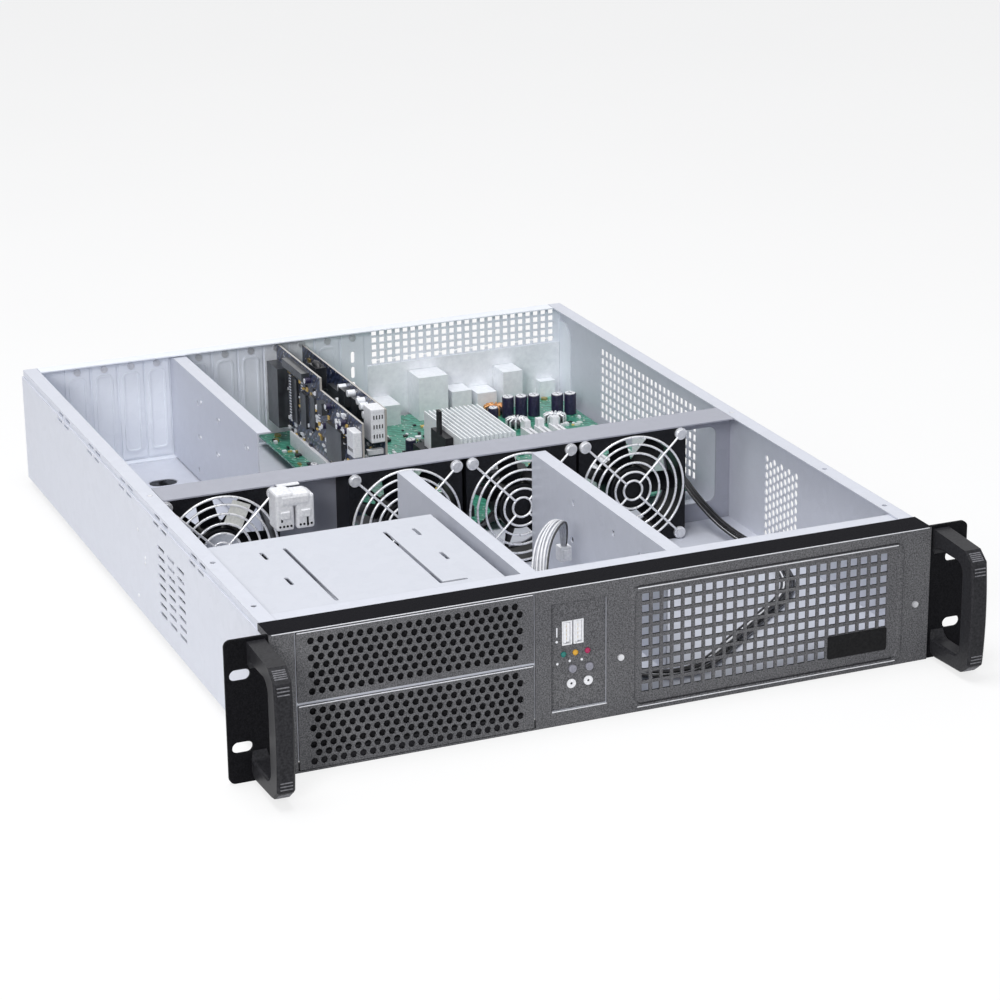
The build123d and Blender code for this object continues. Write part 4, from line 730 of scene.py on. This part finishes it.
def make_board_parts():
    """Small parts soldered between the large ones, told apart by colour."""
    random.seed(11)
    level = BOARD_TOP
    palette = [chip_black, white_moulding, pink_part, amber_part, port_tin, pale_part, brass]
    chip, white, pink, amber, tin, pale, post = range(len(palette))
    common = (chip, chip, chip, white, amber, tin, tin, pale, post)
    made = bmesh.new()
    areas = (
        ((-34, 34), (309, 366), 70), ((-34, -26), (380, 540), 30), ((26, 48), (366, 540), 60),
        ((102, 138), (310, 500), 90), ((172, 200), (380, 496), 60), ((60, 98), (446, 524), 40),
        ((105, 138), (505, 535), 20),
    )
    for (x_low, x_high), (y_low, y_high), count in areas:
        for _ in range(count):
            x, y = random.uniform(x_low, x_high), random.uniform(y_low, y_high)
            width, length = random.uniform(1.2, 4.5), random.uniform(1.2, 4.5)
            height = random.uniform(0.7, 2.4)
            low = (x - width / 2, y - length / 2, level - 0.02)
            high = (x + width / 2, y + length / 2, level + height)
            add_block(made, low, high, 0.12, random.choice(common))
    for x, y, width, length, height, finish in (
        (-22, 316, 9, 5, 8, pink), (-10, 326, 6, 9, 7, amber), (4, 330, 12, 5, 6, white),
        (22, 333, 8, 10, 6, chip), (34, 400, 6, 6, 12, pale), (110, 470, 7, 7, 9, pink),
        (118, 476, 10, 5, 7, amber), (126, 468, 9, 12, 8, white), (44, 380, 6, 20, 8, white),
        (112, 330, 10, 30, 7, white),
    ):
        low = (x - width / 2, y - length / 2, level - 0.02)
        high = (x + width / 2, y + length / 2, level + height)
        add_block(made, low, high, 0.4, finish)
    for x in (143, 154, 166):
        for y in (331.5, 458.5):
            add_block(made, (x - 1.4, y, level + 13.2), (x + 1.4, y + 3, level + 14.6), 0.3, white)
    new_piece("board_parts", made, palette)


def make_power_plugs():
    """White moulding that holds the drive power plugs on the beam: two shoulders, a bridge and dark slots."""
    made = bmesh.new()
    add_block(made, (-134.0, 222.2, 17.8), (-121.8, 238.2, 43.4), 1.6)
    add_block(made, (-120.2, 222.2, 17.8), (-108.0, 238.2, 40.8), 1.6)
    add_block(made, (-132.0, 221.7, 33.5), (-110.0, 237.2, 42.6), 2.6)
    add_block(made, (-123.0, 229.0, 18.5), (-119.0, 238.0, 42.0), 0.6)
    add_block(made, (-128, 236.4, 43.0), (-113, 240.0, 44.0), 0.3)
    for x_low, x_high, z_low, z_high in ((-113.6, -112.4, 19.5, 30.5), (-131.0, -129.8, 24.0, 27.0)):
        add_block(made, (x_low, 221.9, z_low), (x_high, 222.6, z_high), 0.15, 1)
    for left in (-134.0, -120.2):
        for pin in range(4):
            x = left + 2.3 + 2.5 * pin
            add_rod(made, (x, 221.9, 21.0), (x, 224.0, 21.0), 0.8, 10, 1)
        add_block(made, (left + 3.0, 220.9, 26.0), (left + 9.2, 222.6, 31.0), 0.5)
    new_piece(
        "power_plug_moulding", made, [white_moulding, fan_black], replaced=["power_plugs"],
    )


def make_port_contacts():
    """Tongues and contacts inside the ports of the rear plate."""
    made = bmesh.new()
    level, rear = BOARD_TOP, 555.6
    for x, width, height in (
        (62, 14, 16), (97, 24, 34), (122, 16, 18), (143, 16, 14), (164, 16, 29), (199, 13, 13),
    ):
        rows = max(1, round((height - 4) / 9))
        for row in range(rows):
            z = level + 2 + (height - 4) * (row + 0.5) / rows
            half = width / 2 - 3.2
            add_block(made, (x - half, rear - 8.2, z - 0.9), (x + half, rear - 2.2, z + 0.9), 0.25)
            for contact in range(4):
                left = x - half + (2 * half - 0.8) * (contact + 0.5) / 4 - 0.1
                add_block(made, (left, rear - 7.5, z + 0.8), (left + 0.8, rear - 2.4, z + 1.05), 0.05, 1)
    new_piece("port_contacts", made, [chip_black, brass])


def make_hole_light_and_rivets():
    """Bright discs on the divider's face, painted light where its holes are, and the rivets of the left wall.
    """
    made = bmesh.new()
    # Bright discs on the divider's holes: painted light.
    for y, z in ((479.7, 26.7), (437.5, 25.6), (483.7, -1.0), (441.2, -1.6), (372.4, 24.6), (376.0, -3.0)):
        add_rod(made, (-103.3, y, z), (-104.1, y, z), 1.5, 16, edge=0.3)
    for y, z in ((246.8, 4.5), (247.3, 0.8), (260.8, 19.4), (266.8, -28.2)):
        add_rod(made, (-214.8, y, z), (-215.4, y, z), 1.3, 16, edge=0.3)
    new_piece("hole_light_discs_and_rivets", made, [screw_zinc])


# Ribs lighter than the black handles: painted highlight.
rib_highlight_grey = moulded_plastic("rib highlight grey", (0.10, 0.10, 0.11), (0.22, 0.22, 0.24), 0.35)
mark_grey = moulded_plastic("mark grey", (0.75, 0.76, 0.80), (0.90, 0.91, 0.94), 0.5)
sticker = moulded_plastic("sticker", (0.60, 0.62, 0.68), (0.74, 0.76, 0.82), 0.5)
tag_paper = moulded_plastic("tag paper", (0.62, 0.63, 0.60), (0.80, 0.80, 0.76), 0.6)

place_leads()
make_filters_and_shade_strip()
make_edge_highlights()
make_handle_ribs()
make_panel_marks()
make_floor_plug()
make_fan_label()
make_paper_tag()
make_card_parts()
make_capacitors()
make_board_parts()
make_power_plugs()
make_port_contacts()
make_hole_light_and_rivets()


# Camera, floor and light

def place_camera():
    """Camera at the photograph's place, turned right, tipped down and rolled slightly."""
    turn_right, tip_down, roll = 22.75, 19.56, -0.58
    focal_pixels, image_pixels, sensor = 2939, 1000, 36.0
    camera = bpy.data.cameras.new("camera")
    camera.sensor_width = sensor
    camera.lens = focal_pixels / image_pixels * sensor
    camera.clip_end = 50
    holder = bpy.data.objects.new("camera", camera)
    bpy.context.scene.collection.objects.link(holder)
    turned = Euler((0, 0, -math.radians(turn_right))).to_matrix()
    tipped = Euler((math.radians(90 - tip_down), 0, 0)).to_matrix()
    rolled = Euler((0, 0, math.radians(roll))).to_matrix()
    holder.matrix_world = Matrix.Translation((-0.687, -1.4672, 0.668)) @ (turned @ tipped @ rolled).to_4x4()
    bpy.context.scene.camera = holder


def white_rays(tree):
    """One where a ray comes from the camera, a reflection or glass, and nothing elsewhere."""
    rays = tree.nodes.new("ShaderNodeLightPath")
    total = None
    for kind in ("Is Camera Ray", "Is Glossy Ray", "Is Transmission Ray"):
        if total is None:
            total = rays.outputs[kind]
            continue
        add = tree.nodes.new("ShaderNodeMath")
        add.operation = "ADD"
        add.use_clamp = True
        tree.links.new(total, add.inputs[0])
        tree.links.new(rays.outputs[kind], add.inputs[1])
        total = add.outputs[0]
    return total


def place_stage():
    """Pale floor that the case lies on, and a pale world."""
    floor_glow, studio_light = 0.75, 0.42
    floor_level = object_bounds()[0].z
    mesh = bpy.data.meshes.new("floor")
    made = bmesh.new()
    bmesh.ops.create_grid(made, x_segments=1, y_segments=1, size=12)
    made.to_mesh(mesh)
    made.free()
    floor = bpy.data.objects.new("floor", mesh)
    floor.location.z = floor_level
    bpy.context.scene.collection.objects.link(floor)
    material, tree, shader, place = new_finish("floor white", 0.7, specular=0.1)
    cloud = noise(tree, place, 3, 2)
    tone = ramp(tree, cloud, ((0.3, (0.91, 0.91, 0.91)), (0.7, (0.94, 0.94, 0.94))))
    tree.links.new(tone, shader.inputs["Base Color"])
    glow = tree.nodes.new("ShaderNodeEmission")
    lift = tree.nodes.new("ShaderNodeMath")
    lift.operation = "MULTIPLY"
    lift.inputs[1].default_value = floor_glow
    blend = tree.nodes.new("ShaderNodeMixShader")
    tree.links.new(white_rays(tree), lift.inputs[0])
    tree.links.new(lift.outputs[0], blend.inputs[0])
    tree.links.new(shader.outputs[0], blend.inputs[1])
    tree.links.new(glow.outputs[0], blend.inputs[2])
    tree.links.new(blend.outputs[0], tree.nodes["Material Output"].inputs["Surface"])
    mesh.materials.append(material)

    world = bpy.data.worlds.new("studio")
    bpy.context.scene.world = world
    world.use_nodes = True
    tree = world.node_tree
    background = tree.nodes["Background"]
    background.inputs["Color"].default_value = (0.93, 0.95, 1.0, 1)
    background.inputs["Strength"].default_value = studio_light
    seen = tree.nodes.new("ShaderNodeBackground")
    seen.inputs["Color"].default_value = (1, 1, 1, 1)
    seen.inputs["Strength"].default_value = 1.0
    blend = tree.nodes.new("ShaderNodeMixShader")
    tree.links.new(white_rays(tree), blend.inputs[0])
    tree.links.new(background.outputs[0], blend.inputs[1])
    tree.links.new(seen.outputs[0], blend.inputs[2])
    tree.links.new(blend.outputs[0], tree.nodes["World Output"].inputs["Surface"])


def place_lamp(name, place, aim, size, power):
    """Soft square lamp aimed at a point."""
    lamp = bpy.data.lights.new(name, "AREA")
    lamp.size = size
    lamp.energy = power
    holder = bpy.data.objects.new(name, lamp)
    holder.location = place
    direction = Vector(aim) - Vector(place)
    holder.rotation_euler = direction.to_track_quat("-Z", "Y").to_euler()
    bpy.context.scene.collection.objects.link(holder)


place_camera()
place_stage()
place_lamp("key", (-2.0, -2.3, 1.5), (0, 0.25, 0), 1.1, 53)
place_lamp("top", (-0.3, 0.1, 1.9), (0, 0.42, 0), 1.0, 24)

scene = bpy.context.scene
scene.view_settings.view_transform = "Standard"
